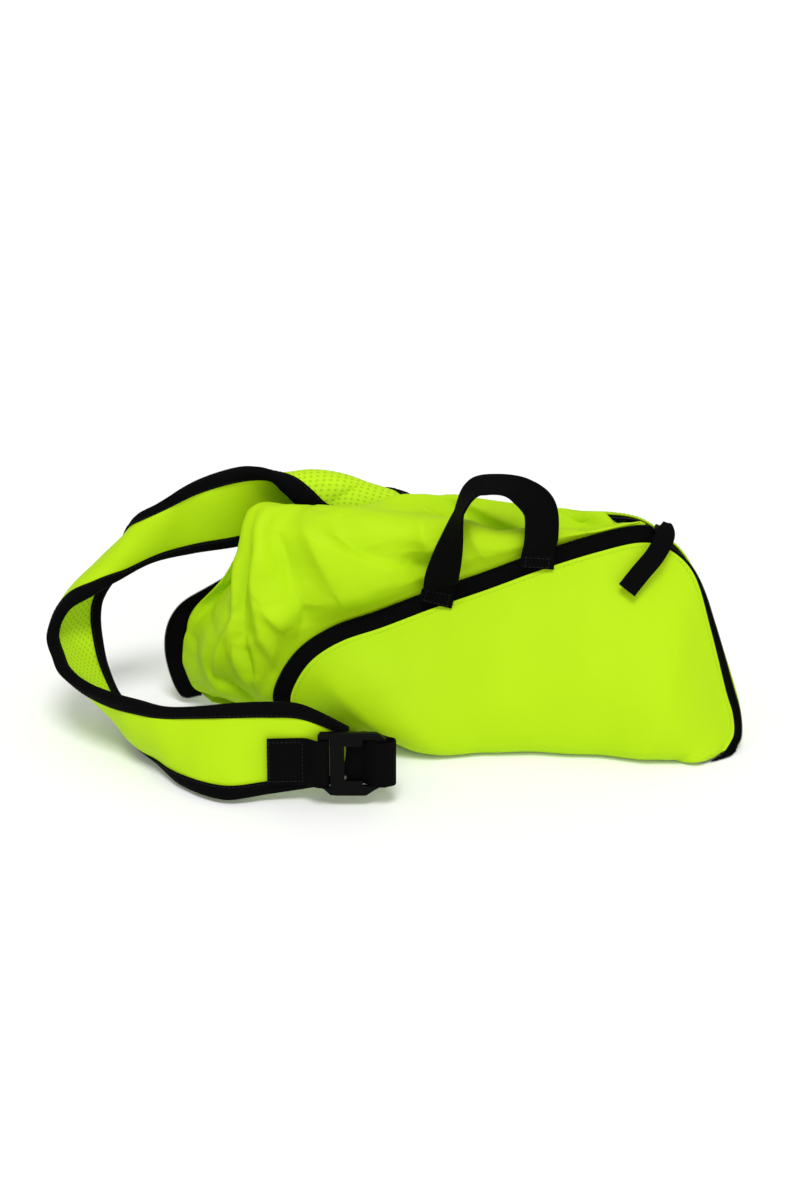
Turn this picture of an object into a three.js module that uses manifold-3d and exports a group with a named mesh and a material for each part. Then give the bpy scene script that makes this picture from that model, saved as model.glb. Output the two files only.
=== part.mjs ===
// Packable backpack, half packed into its own zip pouch, with one shoulder strap lying out.
// All sizes are in millimetres. The object lies as in the photo: X right, Y away from the
// viewer, Z up, floor at Z = 0.

import * as THREE from "three";
import { mergeVertices } from "three/addons/utils/BufferGeometryUtils.js";
import Module from "manifold-3d";

const wasm = await Module();
wasm.setup();

// Driving sizes
const POUCH_LENGTH = 360;       // along X, from the left fold to the right edge
const POUCH_DEPTH = 100;        // along Y, where it lies fullest
const POUCH_HEIGHT = 130;       // along Z, up to the slider
const CLOTH = 1.2;              // wall of the pouch panels
const BAG_CLOTH = 1.1;          // wall of the stuffed bag cloth
const BAG_TUCK = 9;             // how far it reaches into the pouch under the zip hems
const BAG_LIFT = 1.2;           // of the bag's middle surface over the floor
const CLEARANCE = 0.35;         // gap between sewn pieces
const TAPE_WALL = 1.0;          // zip tape
const TAPE_WIDTH = 12.4;        // one half of the zip
const TAPE_TUCK = 1.5;          // part of the tape under the hem
const WEBBING = 1.6;            // thickness of the handle webbing
const HANDLE_WIDTH = 21;
const HANDLE_RISE = 55;         // of its crown over its feet
const STRAP_WIDTH = 48;         // between the middles of the two bindings
const STRAP_SHEET = 1.7;        // each of the two strap layers
const BINDING_WALL = 0.9;
const STRAP_WEBBING = 30;       // width of the webbing at the buckle
const ADJUSTER_WEBBING = 28.2;  // width of the webbing that runs back to the pouch
const LOCK_WEBBING_WALL = 1.4;
const BUCKLE_WIDTH = 41;
const BUCKLE_HEIGHT = 39;
const BUCKLE_THICK = 3.8;
const BUCKLE_OFFSET = 8.6;      // from the last strap section to the edge of the lock
const BUCKLE_LIFT = 5.6;        // of the lock over the strap

// Colours, roughness and metalness
const FABRIC = { color: "#b4e61e", roughness: 0.62, metalness: 0 };
const MESH_CLOTH = { color: "#b0e020", roughness: 0.85, metalness: 0 };
const TRIM = { color: "#0d0d0e", roughness: 0.8, metalness: 0 };
const PLASTIC = { color: "#101012", roughness: 0.42, metalness: 0 };

// The tables hold lengths as shares: x in 360ths of the pouch length, y in 100ths of its depth
// and z in 130ths of its height. A dash stands for a column without a length.
const PARTS = { x: POUCH_LENGTH / 360, y: POUCH_DEPTH / 100, z: POUCH_HEIGHT / 130, "-": 1 };
const inSizes = (columns, rows) => rows.map((row) => row.map((n, i) => n * PARTS[columns[i]]));

// Pouch front, a row per section from the tucked lower left end round to the lower right end.
// Columns: hem of the zip side x, y, z | seam under the bag x, y | bulge towards x, y
const FRONT_ROWS = inSizes("xyzxyxy", [
  [-36, 8, 3.5, -22, 13, -2, -2],
  [-57, -4, 12, -14, 13, -6, -10],
  [-68, -13, 28, -4, 13, -6, -16],
  [-65, -13, 43, 6, 13, -4, -28],
  [-54, -10, 58, 16, 13, -2, -42],
  [-36, -6, 68.5, 26, 13, 0, -47],
  [-11, -2, 76, 38, 13, 0, -46],
  [21, 1, 88, 52, 13, 0, -44],
  [55, 3, 100, 68, 13, 0, -44],
  [88, 6, 112, 86, 13, 0, -44],
  [121, 9, 122, 104, 13, 1, -47],
  [149, 13, 127, 122, 13, 2, -49],
  [167, 16, 121, 138, 13, 1, -53],
  [183, 12.5, 105, 150, 13, -1, -55],
  [194, 2, 71, 158, 13, -2, -53],
  [203.5, -9, 36, 165, 12, -2, -49],
  [208, -14, 22, 170, 10, -2, -45],
  [208.5, -21, 11, 175, 8, -2, -43],
  [203, -30, 4.5, 178, 6, -1, -34],
]);
const FRONT_SLIDER_ROW = 11.7;

// Shape of a front section: share of the way up | share of the bulge
const FRONT_SECTION = [
  [0, 0],
  [0, 0.46],
  [0.006, 0.86],
  [0.11, 1.02],
  [0.36, 0.95],
  [0.66, 0.56],
  [0.88, 0.18],
  [1, 0],
];

// Pouch back, same columns, its rows after the slider pair with those of the front
const BACK_ROWS = inSizes("xyzxyxy", [
  [-121, 38, 3.4, -58, 14, -1, 1],
  [-129, 43, 8, -52, 14, 0, 1],
  [-136, 46, 17, -42, 14, 1, 1],
  [-140.5, 49, 36, -28, 14, 2, 2],
  [-138, 50, 53, -14, 14, 2, 3],
  [-127, 50, 69.5, 2, 14, 0, 8],
  [-104, 49, 91, 18, 14, 0, 22],
  [-68, 50, 113, 34, 14, 0, 36],
  [-22, 52, 124, 50, 14, 0, 40],
  [30, 55, 128, 66, 14, 0, 40],
  [80, 57, 128, 84, 14, 0, 40],
  [122, 57, 128, 102, 14, 0, 38],
  [148, 46, 130, 120, 14, -2, 38],
  [165, 33, 124, 138, 14, -3, 36],
  [182, 29, 106, 150, 14, -4, 33],
  [197, 18, 71, 162, 14, -4, 28],
  [209.5, 6, 36, 171, 14, -4, 22],
  [214.5, -2, 18, 177, 14, -2, 10],
  [214.5, -11, 6.5, 180, 12.8, 1.6, -0.5],
  [209, -22, 3.6, 180, 10.5, 0.8, -5],
]);
const BACK_SECTION = [
  [0, 0],
  [0, 0.45],
  [0.01, 0.8],
  [0.1, 1.02],
  [0.34, 1.08],
  [0.62, 0.98],
  [0.88, 0.68],
  [0.97, 0.3],
  [1, 0],
];

// Stuffed bag, a row per hoop from the lower left end over the top to the slider.
// Columns: row of the front | row of the back | belly x, y, z | brow x, y, z | dip x, y, z |
// crest x, y, z
const BAG_ROWS = inSizes("--xyzxyzxyzxyz", [
  [0.5, 0.2, -66, 10, 7, -80, 17, 7, -96, 24, 8, -113, 30, 11],
  [1.2, 1.2, -80, 2, 16, -96, 10, 15, -110, 20, 15, -121, 29, 17],
  [2.2, 2.6, -90, -4, 34, -106, 4, 32, -122, 16, 30, -136, 34, 27],
  [3.2, 3.6, -86, -8, 58, -105, 0, 60, -119, 14, 58, -129, 33, 54],
  [4, 4.6, -76, -8, 79, -95, 0, 85, -106, 12, 86, -113, 31, 82],
  [5, 5.5, -57, -8, 92, -83, 0, 109, -97, 12, 112, -101, 30, 108],
  [6, 6.5, -30, -6, 100, -60, -2, 125, -85, 12, 137, -93, 30, 142],
  [6.8, 7.2, 0, -1, 109, -28, 0, 131, -54, 14, 141, -63, 32, 144],
  [7.6, 7.9, 28, 6, 117.4, 8, 6, 137, -14, 20, 145, -28, 36, 141],
  [8.3, 8.6, 54, 8, 124.4, 36, 16, 140, 22, 30, 138, 2, 42, 147],
  [9, 9.4, 80, 11, 127, 63, 18, 133, 50, 34, 125, 30, 48, 143],
  [9.8, 10.2, 104, 14, 132, 90, 22, 134, 78, 36, 122, 66, 48.5, 138.5],
  [10.6, 11, 126, 18.5, 133, 114, 25, 129, 105, 36, 121, 98, 48.5, 135],
  [11.2, 11.8, 145, 22, 136, 139, 27, 134, 134, 33, 131, 129, 43, 134],
]);

// Folds of the stuffed bag: hoop and place along it at both ends | width | rise
const BAG_FOLDS = inSizes("-----y", [
  [5.9, 0.63, 4.7, 0.57, 0.4, 5],
  [4.7, 0.57, 3.25, 0.46, 0.4, 4.5],
  [5.65, 0.55, 4.2, 0.47, 0.3, -4.5],
  [6.2, 0.61, 4.6, 0.42, 0.4, 5],
  [4.6, 0.42, 3, 0.2, 0.4, 4],
  [6.8, 0.61, 5.8, 0.44, 0.35, -4],
  [5.8, 0.44, 4.4, 0.2, 0.35, -4],
  [7.2, 0.5, 7, 0.34, 0.35, -2.5],
  [7.6, 0.35, 7.4, 0.22, 0.45, -6],
  [9.4, 0.56, 11.4, 0.49, 0.35, -3.5],
  [10.3, 0.69, 11.1, 0.64, 0.35, 2.5],
  [11.9, 0.6, 12.6, 0.46, 0.3, 3],
  [3.6, 0.37, 2, 0.25, 0.35, 2.5],
  [2.4, 0.55, 1.4, 0.34, 0.3, -2.5],
]);

// Strap, a row per section from its root behind the bag to the buckle end.
// Columns: middle of the first binding x, y, z | middle of the second one x, y, z | arch
const STRAP_ROWS = inSizes("xyzxyzy", [
  [-33, 48, 127, 10, 53, 131, 0],
  [-38, 50, 128.5, 6, 61, 134, -3],
  [-44, 51, 131, -1, 70, 135, -7],
  [-51, 51, 134.5, -9, 77, 132, -11],
  [-60, 51, 142.5, -21, 81, 130, -12],
  [-69, 52, 149.5, -35, 81, 128, -11],
  [-78, 53, 154.5, -51, 76, 123, -8],
  [-90, 52, 157.5, -72, 66, 119, -5],
  [-106, 49, 156.5, -98, 54, 113, 0],
  [-128, 46, 150, -131, 50, 108.5, 1],
  [-149, 43, 139, -156, 45, 104, 2],
  [-166, 46, 126, -176, 38, 96, 3],
  [-174, 60, 106, -192, 31, 88.5, 5],
  [-184, 67, 86, -207, 25, 82.5, 6],
  [-195, 61, 69.5, -215, 18.5, 74, 6],
  [-197, 51, 57.5, -218, 9.5, 64, 5],
  [-194.5, 38, 44.5, -214, 0, 55.5, 4],
  [-190.5, 27, 33.5, -209, -8, 48.5, 3],
  [-183, 14, 21.5, -195, -22, 44, 4],
  [-173, 1, 14.5, -177, -35, 42, 6],
  [-163, -22.5, 7, -160, -46, 42.5, 7],
  [-147, -49, 7.5, -144, -56, 44, 5],
  [-131, -71, 7, -124, -63, 47.5, 2],
  [-106, -87, 7, -100, -71, 53, 0],
  [-80, -84.5, 9.5, -79, -77, 57, 0],
  [-58, -84, 12.5, -58, -78.5, 56, 0],
  [-35, -84, 15, -31, -79.5, 43.5, 0],
]);

// Small helpers
const vec = (x, y, z) => new THREE.Vector3(x, y, z);
const clamp = (x, low, high) => Math.min(Math.max(x, low), high);

// Smooth curve through the rows of a table, at a row number that may lie between two rows
function rowAt(rows, place) {
  const last = rows.length - 1;
  const p = clamp(place, 0, last);
  const i = Math.min(Math.floor(p), last - 1);
  const f = p - i;
  const a = rows[Math.max(i - 1, 0)];
  const b = rows[i];
  const c = rows[i + 1];
  const d = rows[Math.min(i + 2, last)];
  return b.map((_, k) => {
    const slope = c[k] - a[k];
    const bend = 2 * a[k] - 5 * b[k] + 4 * c[k] - d[k];
    const twist = 3 * b[k] - 3 * c[k] + d[k] - a[k];
    return 0.5 * (2 * b[k] + slope * f + bend * f * f + twist * f * f * f);
  });
}

// Closed mesh from points and triangles, turned to face outwards
function closedGeometry(points, triangles) {
  let volume = 0;
  for (const [a, b, c] of triangles) {
    volume += points[a].dot(points[b].clone().cross(points[c]));
  }
  const index = [];
  for (const [a, b, c] of triangles) {
    if (volume > 0) index.push(a, b, c);
    else index.push(a, c, b);
  }
  const geometry = new THREE.BufferGeometry();
  const flat = points.flatMap((p) => [p.x, p.y, p.z]);
  geometry.setAttribute("position", new THREE.Float32BufferAttribute(flat, 3));
  geometry.setIndex(index);
  return geometry;
}

// Normal of a grid of points, from the neighbours of each point
function gridNormals(grid) {
  const rows = grid.length;
  const columns = grid[0].length;
  return grid.map((row, i) => row.map((_, j) => {
    const along = grid[Math.min(i + 1, rows - 1)][j].clone().sub(grid[Math.max(i - 1, 0)][j]);
    const across = row[Math.min(j + 1, columns - 1)].clone().sub(row[Math.max(j - 1, 0)]);
    return along.cross(across).normalize();
  }));
}

// Closed wall between two layers of a grid of points
function wallBetween(layers) {
  const steps = layers[0].length - 1;
  const cells = layers[0][0].length - 1;
  const points = layers.flat(2);
  const layer = (steps + 1) * (cells + 1);
  const at = (i, j) => i * (cells + 1) + j;
  const triangles = [];
  const quad = (a, b, c, d) => triangles.push([a, b, c], [a, c, d]);
  for (let i = 0; i < steps; i += 1) {
    for (let j = 0; j < cells; j += 1) {
      quad(at(i, j), at(i, j + 1), at(i + 1, j + 1), at(i + 1, j));
      quad(layer + at(i, j), layer + at(i + 1, j), layer + at(i + 1, j + 1), layer + at(i, j + 1));
    }
  }
  for (let i = 0; i < steps; i += 1) {
    quad(at(i, 0), at(i + 1, 0), layer + at(i + 1, 0), layer + at(i, 0));
    quad(at(i + 1, cells), at(i, cells), layer + at(i, cells), layer + at(i + 1, cells));
  }
  for (let j = 0; j < cells; j += 1) {
    quad(at(0, j + 1), at(0, j), layer + at(0, j), layer + at(0, j + 1));
    quad(at(steps, j), at(steps, j + 1), layer + at(steps, j + 1), layer + at(steps, j));
  }
  return closedGeometry(points, triangles);
}

// Cloth wall over pointAt(s, t), s and t from 0 to 1, grown from low to high along the normal
function clothWall(pointAt, steps, cells, low, high, onFloor = false) {
  const grid = [];
  for (let i = 0; i <= steps; i += 1) {
    const row = [];
    for (let j = 0; j <= cells; j += 1) row.push(pointAt(i / steps, j / cells));
    grid.push(row);
  }
  const normals = gridNormals(grid);
  const layers = [low, high].map((reach) => grid.map((row, i) => row.map((p, j) => {
    const q = p.clone().addScaledVector(normals[i][j], reach);
    if (onFloor) q.z = Math.max(q.z, 0);
    return q;
  })));
  return wallBetween(layers);
}

// Solid through a row of outlines given as points, with the flat outline for its two ends.
// The quads of opposite walls are split the same way, so that thin walls stay apart.
function loft(sections, outline, turned = false) {
  const n = outline.length;
  const last = (sections.length - 1) * n;
  const triangles = [];
  for (let i = 0; i < sections.length - 1; i += 1) {
    for (let k = 0; k < n; k += 1) {
      const next = (k + 1) % n;
      const a = i * n + k;
      const b = i * n + next;
      if ((outline[k][0] < outline[next][0]) !== turned) {
        triangles.push([a, b, b + n], [a, b + n, a + n]);
      } else {
        triangles.push([a, b, a + n], [b, b + n, a + n]);
      }
    }
  }
  const flat = outline.map(([a, b]) => new THREE.Vector2(a, b));
  const clockwise = THREE.ShapeUtils.isClockWise(flat);
  for (const face of THREE.ShapeUtils.triangulateShape(flat, [])) {
    const [a, b, c] = clockwise ? [...face].reverse() : face;
    triangles.push([a, c, b], [last + a, last + b, last + c]);
  }
  return closedGeometry(sections.flat(), triangles);
}

// A flat outline carried along a list of frames {origin, side, up}
function sweep(frames, outline) {
  return loft(frames.map(({ origin, side, up }) => outline.map(([a, b]) =>
    origin.clone().addScaledVector(side, a).addScaledVector(up, b))), outline);
}

// Frames along a route, each with its own side direction
function routeFrames(pointAt, sideAt, steps) {
  const frames = [];
  for (let i = 0; i <= steps; i += 1) {
    const s = i / steps;
    const ahead = pointAt(Math.min(s + 0.004, 1));
    const along = ahead.sub(pointAt(Math.max(s - 0.004, 0))).normalize();
    const side = sideAt(s).clone();
    side.addScaledVector(along, -side.dot(along)).normalize();
    frames.push({ origin: pointAt(s), side, up: along.clone().cross(side).normalize() });
  }
  return frames;
}

// Rectangle outline, width along side and wall along up
function bandOutline(width, wall) {
  const w = width / 2;
  const h = wall / 2;
  return [[-w, -h], [w, -h], [w, h], [-w, h]];
}

// Surface of a pouch half: place is a row number, rise runs from the seam to the zip hem
function pouchPoint(rows, section, place, rise) {
  const [hx, hy, hz, sx, sy, bx, by] = rowAt(rows, place);
  const [up, out] = rowAt(section, rise * (section.length - 1));
  const seam = vec(sx, sy, CLOTH / 2);
  const p = seam.lerp(vec(hx, hy, hz), up);
  p.x += bx * out;
  p.y += by * out;
  p.z = Math.max(p.z, CLOTH / 2);
  return p;
}

// Direction of the zip tape away from the hem and the inward normal there
function hemFrame(rows, section, place, inwards) {
  const hem = pouchPoint(rows, section, place, 1);
  const before = pouchPoint(rows, section, Math.max(place - 0.1, 0), 1);
  const after = pouchPoint(rows, section, Math.min(place + 0.1, rows.length - 1), 1);
  const along = after.sub(before).normalize();
  const away = hem.clone().sub(pouchPoint(rows, section, place, 0.97));
  away.addScaledVector(along, -away.dot(along)).normalize();
  const inner = along.clone().cross(away).normalize().multiplyScalar(inwards);
  return { hem, away, inner, along };
}
const frontHem = (place) => hemFrame(FRONT_ROWS, FRONT_SECTION, place, -1);
const backHem = (place) => hemFrame(BACK_ROWS, BACK_SECTION, place, 1);

// Both rims share the closed stretch after the slider
const FRONT_LAST = FRONT_ROWS.length - 1;
const BACK_LAST = BACK_ROWS.length - 1;
const rowsBehind = BACK_LAST - FRONT_LAST;

function closedShare(place) {
  const share = clamp((place - FRONT_SLIDER_ROW + 0.5) / 0.6, 0, 1);
  return share * share * (3 - 2 * share);
}

// Point of a zip tape: reach from -1 at the tucked edge to 1 at the toothed edge
function tapePoint(own, other, place, otherPlace, shut, share, across) {
  const { hem, away, inner } = own(place);
  const lift = (CLOTH + TAPE_WALL) / 2 + CLEARANCE + 0.27;
  const base = hem.clone().addScaledVector(inner, lift);
  const tucked = base.clone().addScaledVector(away, -TAPE_TUCK);
  const open = base.clone().addScaledVector(away, TAPE_WIDTH - TAPE_TUCK);
  const mate = other(otherPlace);
  const facing = mate.hem.clone().addScaledVector(mate.inner, lift);
  const middle = base.clone().lerp(facing, share);
  const gap = middle.clone().sub(base).normalize().multiplyScalar(0.45);
  const edge = open.lerp(middle.sub(gap), shut);
  return tucked.lerp(edge, across);
}
const frontTape = (place, across) => tapePoint(frontHem, backHem, place,
  place + rowsBehind, closedShare(place), 0.5 + 0.1 * clamp(place - 16.2, 0, 1), across);
const backTape = (place, across) => tapePoint(backHem, frontHem, place,
  place - rowsBehind, closedShare(place - rowsBehind), 0.5, across);

// Point of the stuffed bag: hoop is a row number, place runs from the front rim to the back rim
function bagHoop(hoop) {
  const row = rowAt(BAG_ROWS, hoop);
  const front = frontHem(row[0]);
  const back = backHem(row[1]);
  const inside = CLOTH + CLEARANCE * 2 + TAPE_WALL + BAG_CLOTH;
  const open = clamp((row[1] - 4) / 2, 0, 1);
  const reach = (TAPE_WIDTH + 2) * open - 2;
  const behind = inside + 1.1 + 1.7 * (1 - open);
  const points = [
    front.hem.clone().addScaledVector(front.away, -BAG_TUCK).addScaledVector(front.inner, inside + 1),
    front.hem.clone().addScaledVector(front.away, TAPE_WIDTH - 1)
      .addScaledVector(front.inner, inside + 0.4),
    vec(row[2], row[3], row[4]),
    vec(row[5], row[6], row[7]),
    vec(row[8], row[9], row[10]),
    vec(row[11], row[12], row[13]),
    back.hem.clone().addScaledVector(back.away, reach).addScaledVector(back.inner, behind),
    back.hem.clone().addScaledVector(back.away, -BAG_TUCK).addScaledVector(back.inner, behind),
  ];
  return points.map((p) => [p.x, p.y, Math.max(p.z, BAG_LIFT)]);
}

function bagPoint(share, place) {
  const hoop = share * (BAG_ROWS.length - 1);
  const [x, y, z] = rowAt(bagHoop(hoop), place * 7);
  return vec(x, y, Math.max(z, BAG_LIFT));
}

// Rise of the folds at a hoop and place, with the way round counted in hoop spacings
const HOOPS_ROUND = 7.4;
function foldRise(hoop, place) {
  let rise = 0;
  for (const [h0, p0, h1, p1, width, height] of BAG_FOLDS) {
    const dh = h1 - h0;
    const dp = (p1 - p0) * HOOPS_ROUND;
    const qh = hoop - h0;
    const qp = (place - p0) * HOOPS_ROUND;
    const t = clamp((qh * dh + qp * dp) / (dh * dh + dp * dp), 0, 1);
    const off = Math.hypot(qh - dh * t, qp - dp * t) / width;
    rise += height * Math.exp(-off * off) * Math.sin(Math.PI * (0.12 + 0.76 * t));
  }
  const rim = clamp(Math.min(place, 1 - place) * 6 - 0.6, 0, 1);
  return rise * rim;
}

function bagSurface(share, place) {
  const p = bagPoint(share, place);
  const a = bagPoint(Math.min(share + 0.01, 1), place).sub(bagPoint(Math.max(share - 0.01, 0), place));
  const b = bagPoint(share, Math.min(place + 0.01, 1)).sub(bagPoint(share, Math.max(place - 0.01, 0)));
  const normal = a.cross(b).normalize();
  const outwards = normal.z + 0.6 * -normal.y > 0 ? 1 : -1;
  p.addScaledVector(normal, outwards * foldRise(share * (BAG_ROWS.length - 1), place));
  p.z = Math.max(p.z, BAG_LIFT);
  return p;
}

// Middle surface of the strap, across runs from one binding to the other and past them
function strapPoint(share, across) {
  const [ax, ay, az, bx, by, bz, arch] = rowAt(STRAP_ROWS, share * (STRAP_ROWS.length - 1));
  const spread = 0.5 + (across - 0.5) * (STRAP_WIDTH / 48);
  const p = vec(ax, ay, az).lerp(vec(bx, by, bz), spread);
  const rise = arch * 4 * across * (1 - across);
  return p.addScaledVector(strapArchNormal(share), rise);
}

// Outward side of the strap arch, square to the run and to the line between the bindings
function strapArchNormal(share) {
  const last = STRAP_ROWS.length - 1;
  const here = rowAt(STRAP_ROWS, share * last);
  const next = rowAt(STRAP_ROWS, Math.min(share * last + 0.4, last));
  const back = rowAt(STRAP_ROWS, Math.max(share * last - 0.4, 0));
  const along = vec(next[0] + next[3] - back[0] - back[3], next[1] + next[4] - back[1] - back[4],
    next[2] + next[5] - back[2] - back[5]);
  const over = vec(here[3] - here[0], here[4] - here[1], here[5] - here[2]);
  return along.cross(over).normalize();
}

// Point off the middle surface of the strap, on its own normal
function strapAt(share, across, offset) {
  const p = strapPoint(share, across);
  const over = strapPoint(share, across + 0.02).sub(strapPoint(share, across - 0.02));
  const along = strapPoint(Math.min(share + 0.012, 1), across)
    .sub(strapPoint(Math.max(share - 0.012, 0), across));
  return p.addScaledVector(along.cross(over).normalize(), offset);
}

// Parts of the object
const pieces = [];
function addPiece(name, geometry, look) {
  pieces.push({ name, geometry, look });
}

// Pouch halves
addPiece("pouch_front_panel", clothWall((s, t) =>
  pouchPoint(FRONT_ROWS, FRONT_SECTION, s * FRONT_LAST, t), 36, 10, -CLOTH / 2, CLOTH / 2, true), FABRIC);
addPiece("pouch_back_panel", clothWall((s, t) =>
  pouchPoint(BACK_ROWS, BACK_SECTION, s * BACK_LAST, t), 38, 10, -CLOTH / 2, CLOTH / 2, true), FABRIC);

// Zip tapes
const FRONT_TAPE_ROWS = [0.9, FRONT_LAST];
const BACK_TAPE_ROWS = [1.3, BACK_LAST - 1.95];
const between = ([first, last], s) => first + (last - first) * s;
addPiece("zip_tape_front", clothWall((s, t) => frontTape(between(FRONT_TAPE_ROWS, s), t), 36, 1,
  -TAPE_WALL / 2, TAPE_WALL / 2), TRIM);
addPiece("zip_tape_back", clothWall((s, t) => backTape(between(BACK_TAPE_ROWS, s), t), 38, 1,
  -TAPE_WALL / 2, TAPE_WALL / 2), TRIM);

// Stuffed bag
addPiece("bag_body", clothWall(bagSurface, 42, 18, -BAG_CLOTH / 2, BAG_CLOTH / 2, true), FABRIC);

// Strap: two layers with a bound edge on either side, across counted in strap widths
// Stretches of the strap mesh: up to row | steps
const STRAP_STRETCHES = [
  [8, 16],
  [12, 6],
  [17, 13],
  [22, 8],
  [26, 3],
];
const strapShares = [0];
STRAP_STRETCHES.forEach(([row, steps], i) => {
  const from = i ? STRAP_STRETCHES[i - 1][0] : 0;
  for (let k = 1; k <= steps; k += 1) {
    strapShares.push((from + (row - from) * (k / steps)) / (STRAP_ROWS.length - 1));
  }
});
const half = 0.31;
const EDGE = 0.06;
const COVER = 0.08;
// The layers reach less far into the bindings at the tightest fold
const TIGHT_FOLD = { row: 14, reach: 1.7, share: 0.85 };
function layerPlaces(share) {
  const away = (share * (STRAP_ROWS.length - 1) - TIGHT_FOLD.row) / TIGHT_FOLD.reach;
  const edge = EDGE * (1 - TIGHT_FOLD.share * Math.exp(-away * away));
  return [-edge, COVER, 0.5, 1 - COVER, 1 + edge];
}
function strapRows(placesAt, offsetAt) {
  return strapShares.map((share) =>
    placesAt(share).map((across, k) => strapAt(share, across, offsetAt(k))));
}
function strapLayer(low, high) {
  return wallBetween([strapRows(layerPlaces, () => low), strapRows(layerPlaces, () => high)]);
}
addPiece("strap_face", strapLayer(half, half + STRAP_SHEET), FABRIC);
addPiece("strap_mesh_lining", strapLayer(-half - STRAP_SHEET, -half), MESH_CLOTH);

const bindingInner = half + STRAP_SHEET + CLEARANCE * 1.8;
const bindingOuter = bindingInner + BINDING_WALL;
const EDGE_GAP = 1.3 / STRAP_WIDTH;
const EDGE_WALL = BINDING_WALL / STRAP_WIDTH;
const BINDING_OUTLINE = [
  [COVER, -bindingOuter],
  [-EDGE - EDGE_GAP - EDGE_WALL, -bindingOuter + 0.5],
  [-EDGE - EDGE_GAP - EDGE_WALL, bindingOuter - 0.5],
  [COVER, bindingOuter],
  [COVER, bindingInner],
  [-EDGE - EDGE_GAP, bindingInner],
  [-EDGE - EDGE_GAP, -bindingInner],
  [COVER, -bindingInner],
];
function binding(outline) {
  const places = outline.map(([across]) => across);
  return loft(strapRows(() => places, (k) => outline[k][1]), outline);
}
addPiece("strap_binding_lower", binding(BINDING_OUTLINE), TRIM);
addPiece("strap_binding_upper", binding(BINDING_OUTLINE.map(([a, b]) => [1 - a, b])), TRIM);

// Carry handle, sewn over the front tape.
// Feet: row of the front rim | lean along it. Rows: middle of the webbing x, y | 55ths of its rise
const HANDLE_FEET = [
  [7.02, 0.7],
  [8.9, 0.45],
];
const HANDLE_ROWS = [
  [25.5, -4, 0],
  [31, -4, 22],
  [36.5, 2, 43],
  [45.5, 9, 55],
  [60, 12, 56.5],
  [73.5, 11, 53],
  [85.5, 7, 43],
  [87, 3.5, 26],
];
const HANDLE_BASE = 110 * PARTS.z;
function handleFoot(place, lean, rise) {
  const { hem, away, inner, along } = frontHem(place);
  const p = hem.addScaledVector(away, rise).addScaledVector(along, rise * lean);
  p.addScaledVector(inner, -(CLOTH + WEBBING) / 2 - CLEARANCE - 0.8 - rise * 0.3);
  return [p.x, p.y, p.z];
}
const handleRoute = [
  handleFoot(...HANDLE_FEET[0], 1.5),
  handleFoot(...HANDLE_FEET[0], 9),
  ...inSizes("xy-", HANDLE_ROWS).map(([x, y, rise]) => [x, y, HANDLE_BASE + rise * HANDLE_RISE / 55]),
  handleFoot(...HANDLE_FEET[1], 9),
  handleFoot(...HANDLE_FEET[1], 1.5),
];
function routePoint(rows, share) {
  const [x, y, z] = rowAt(rows, share * (rows.length - 1));
  return vec(x, y, z);
}
const handleFrames = routeFrames((s) => routePoint(handleRoute, s), (s) => {
  const turn = clamp((s - 0.16) / 0.2, 0, 1) + clamp((s - 0.52) / 0.2, 0, 1);
  const angle = Math.PI * (1 - turn / 2);
  const side = vec(Math.cos(angle), 0.97 * Math.sin(angle), 0.22 * Math.sin(angle));
  const foot = s < 0.5 ? frontHem(HANDLE_FEET[0][0]).along.negate()
    : frontHem(HANDLE_FEET[1][0]).along;
  return side.lerp(foot, clamp((Math.abs(s - 0.5) - 0.28) / 0.12, 0, 1));
}, 30);
addPiece("carry_handle", sweep(handleFrames, bandOutline(HANDLE_WIDTH, WEBBING)), TRIM);

// Closed geometry with its shared corners merged, and a body of it that can be joined
function merged(geometry) {
  geometry.deleteAttribute("normal");
  geometry.deleteAttribute("uv");
  return mergeVertices(geometry, 1e-4);
}
function solidOf(geometry) {
  const { index, attributes } = merged(geometry);
  return new wasm.Manifold(new wasm.Mesh({
    numProp: 3, vertProperties: attributes.position.array, triVerts: Uint32Array.from(index.array) }));
}

// Points and triangles placed on three axes
function placed(points, triangles, side, along, out, origin) {
  return closedGeometry(points.map(([a, b, c]) => origin.clone().addScaledVector(side, a)
    .addScaledVector(along, b).addScaledVector(out, c)), triangles);
}
const inThrees = (list) => Array.from({ length: list.length / 3 }, (_, i) => [...list.slice(3 * i, 3 * i + 3)]);

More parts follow.
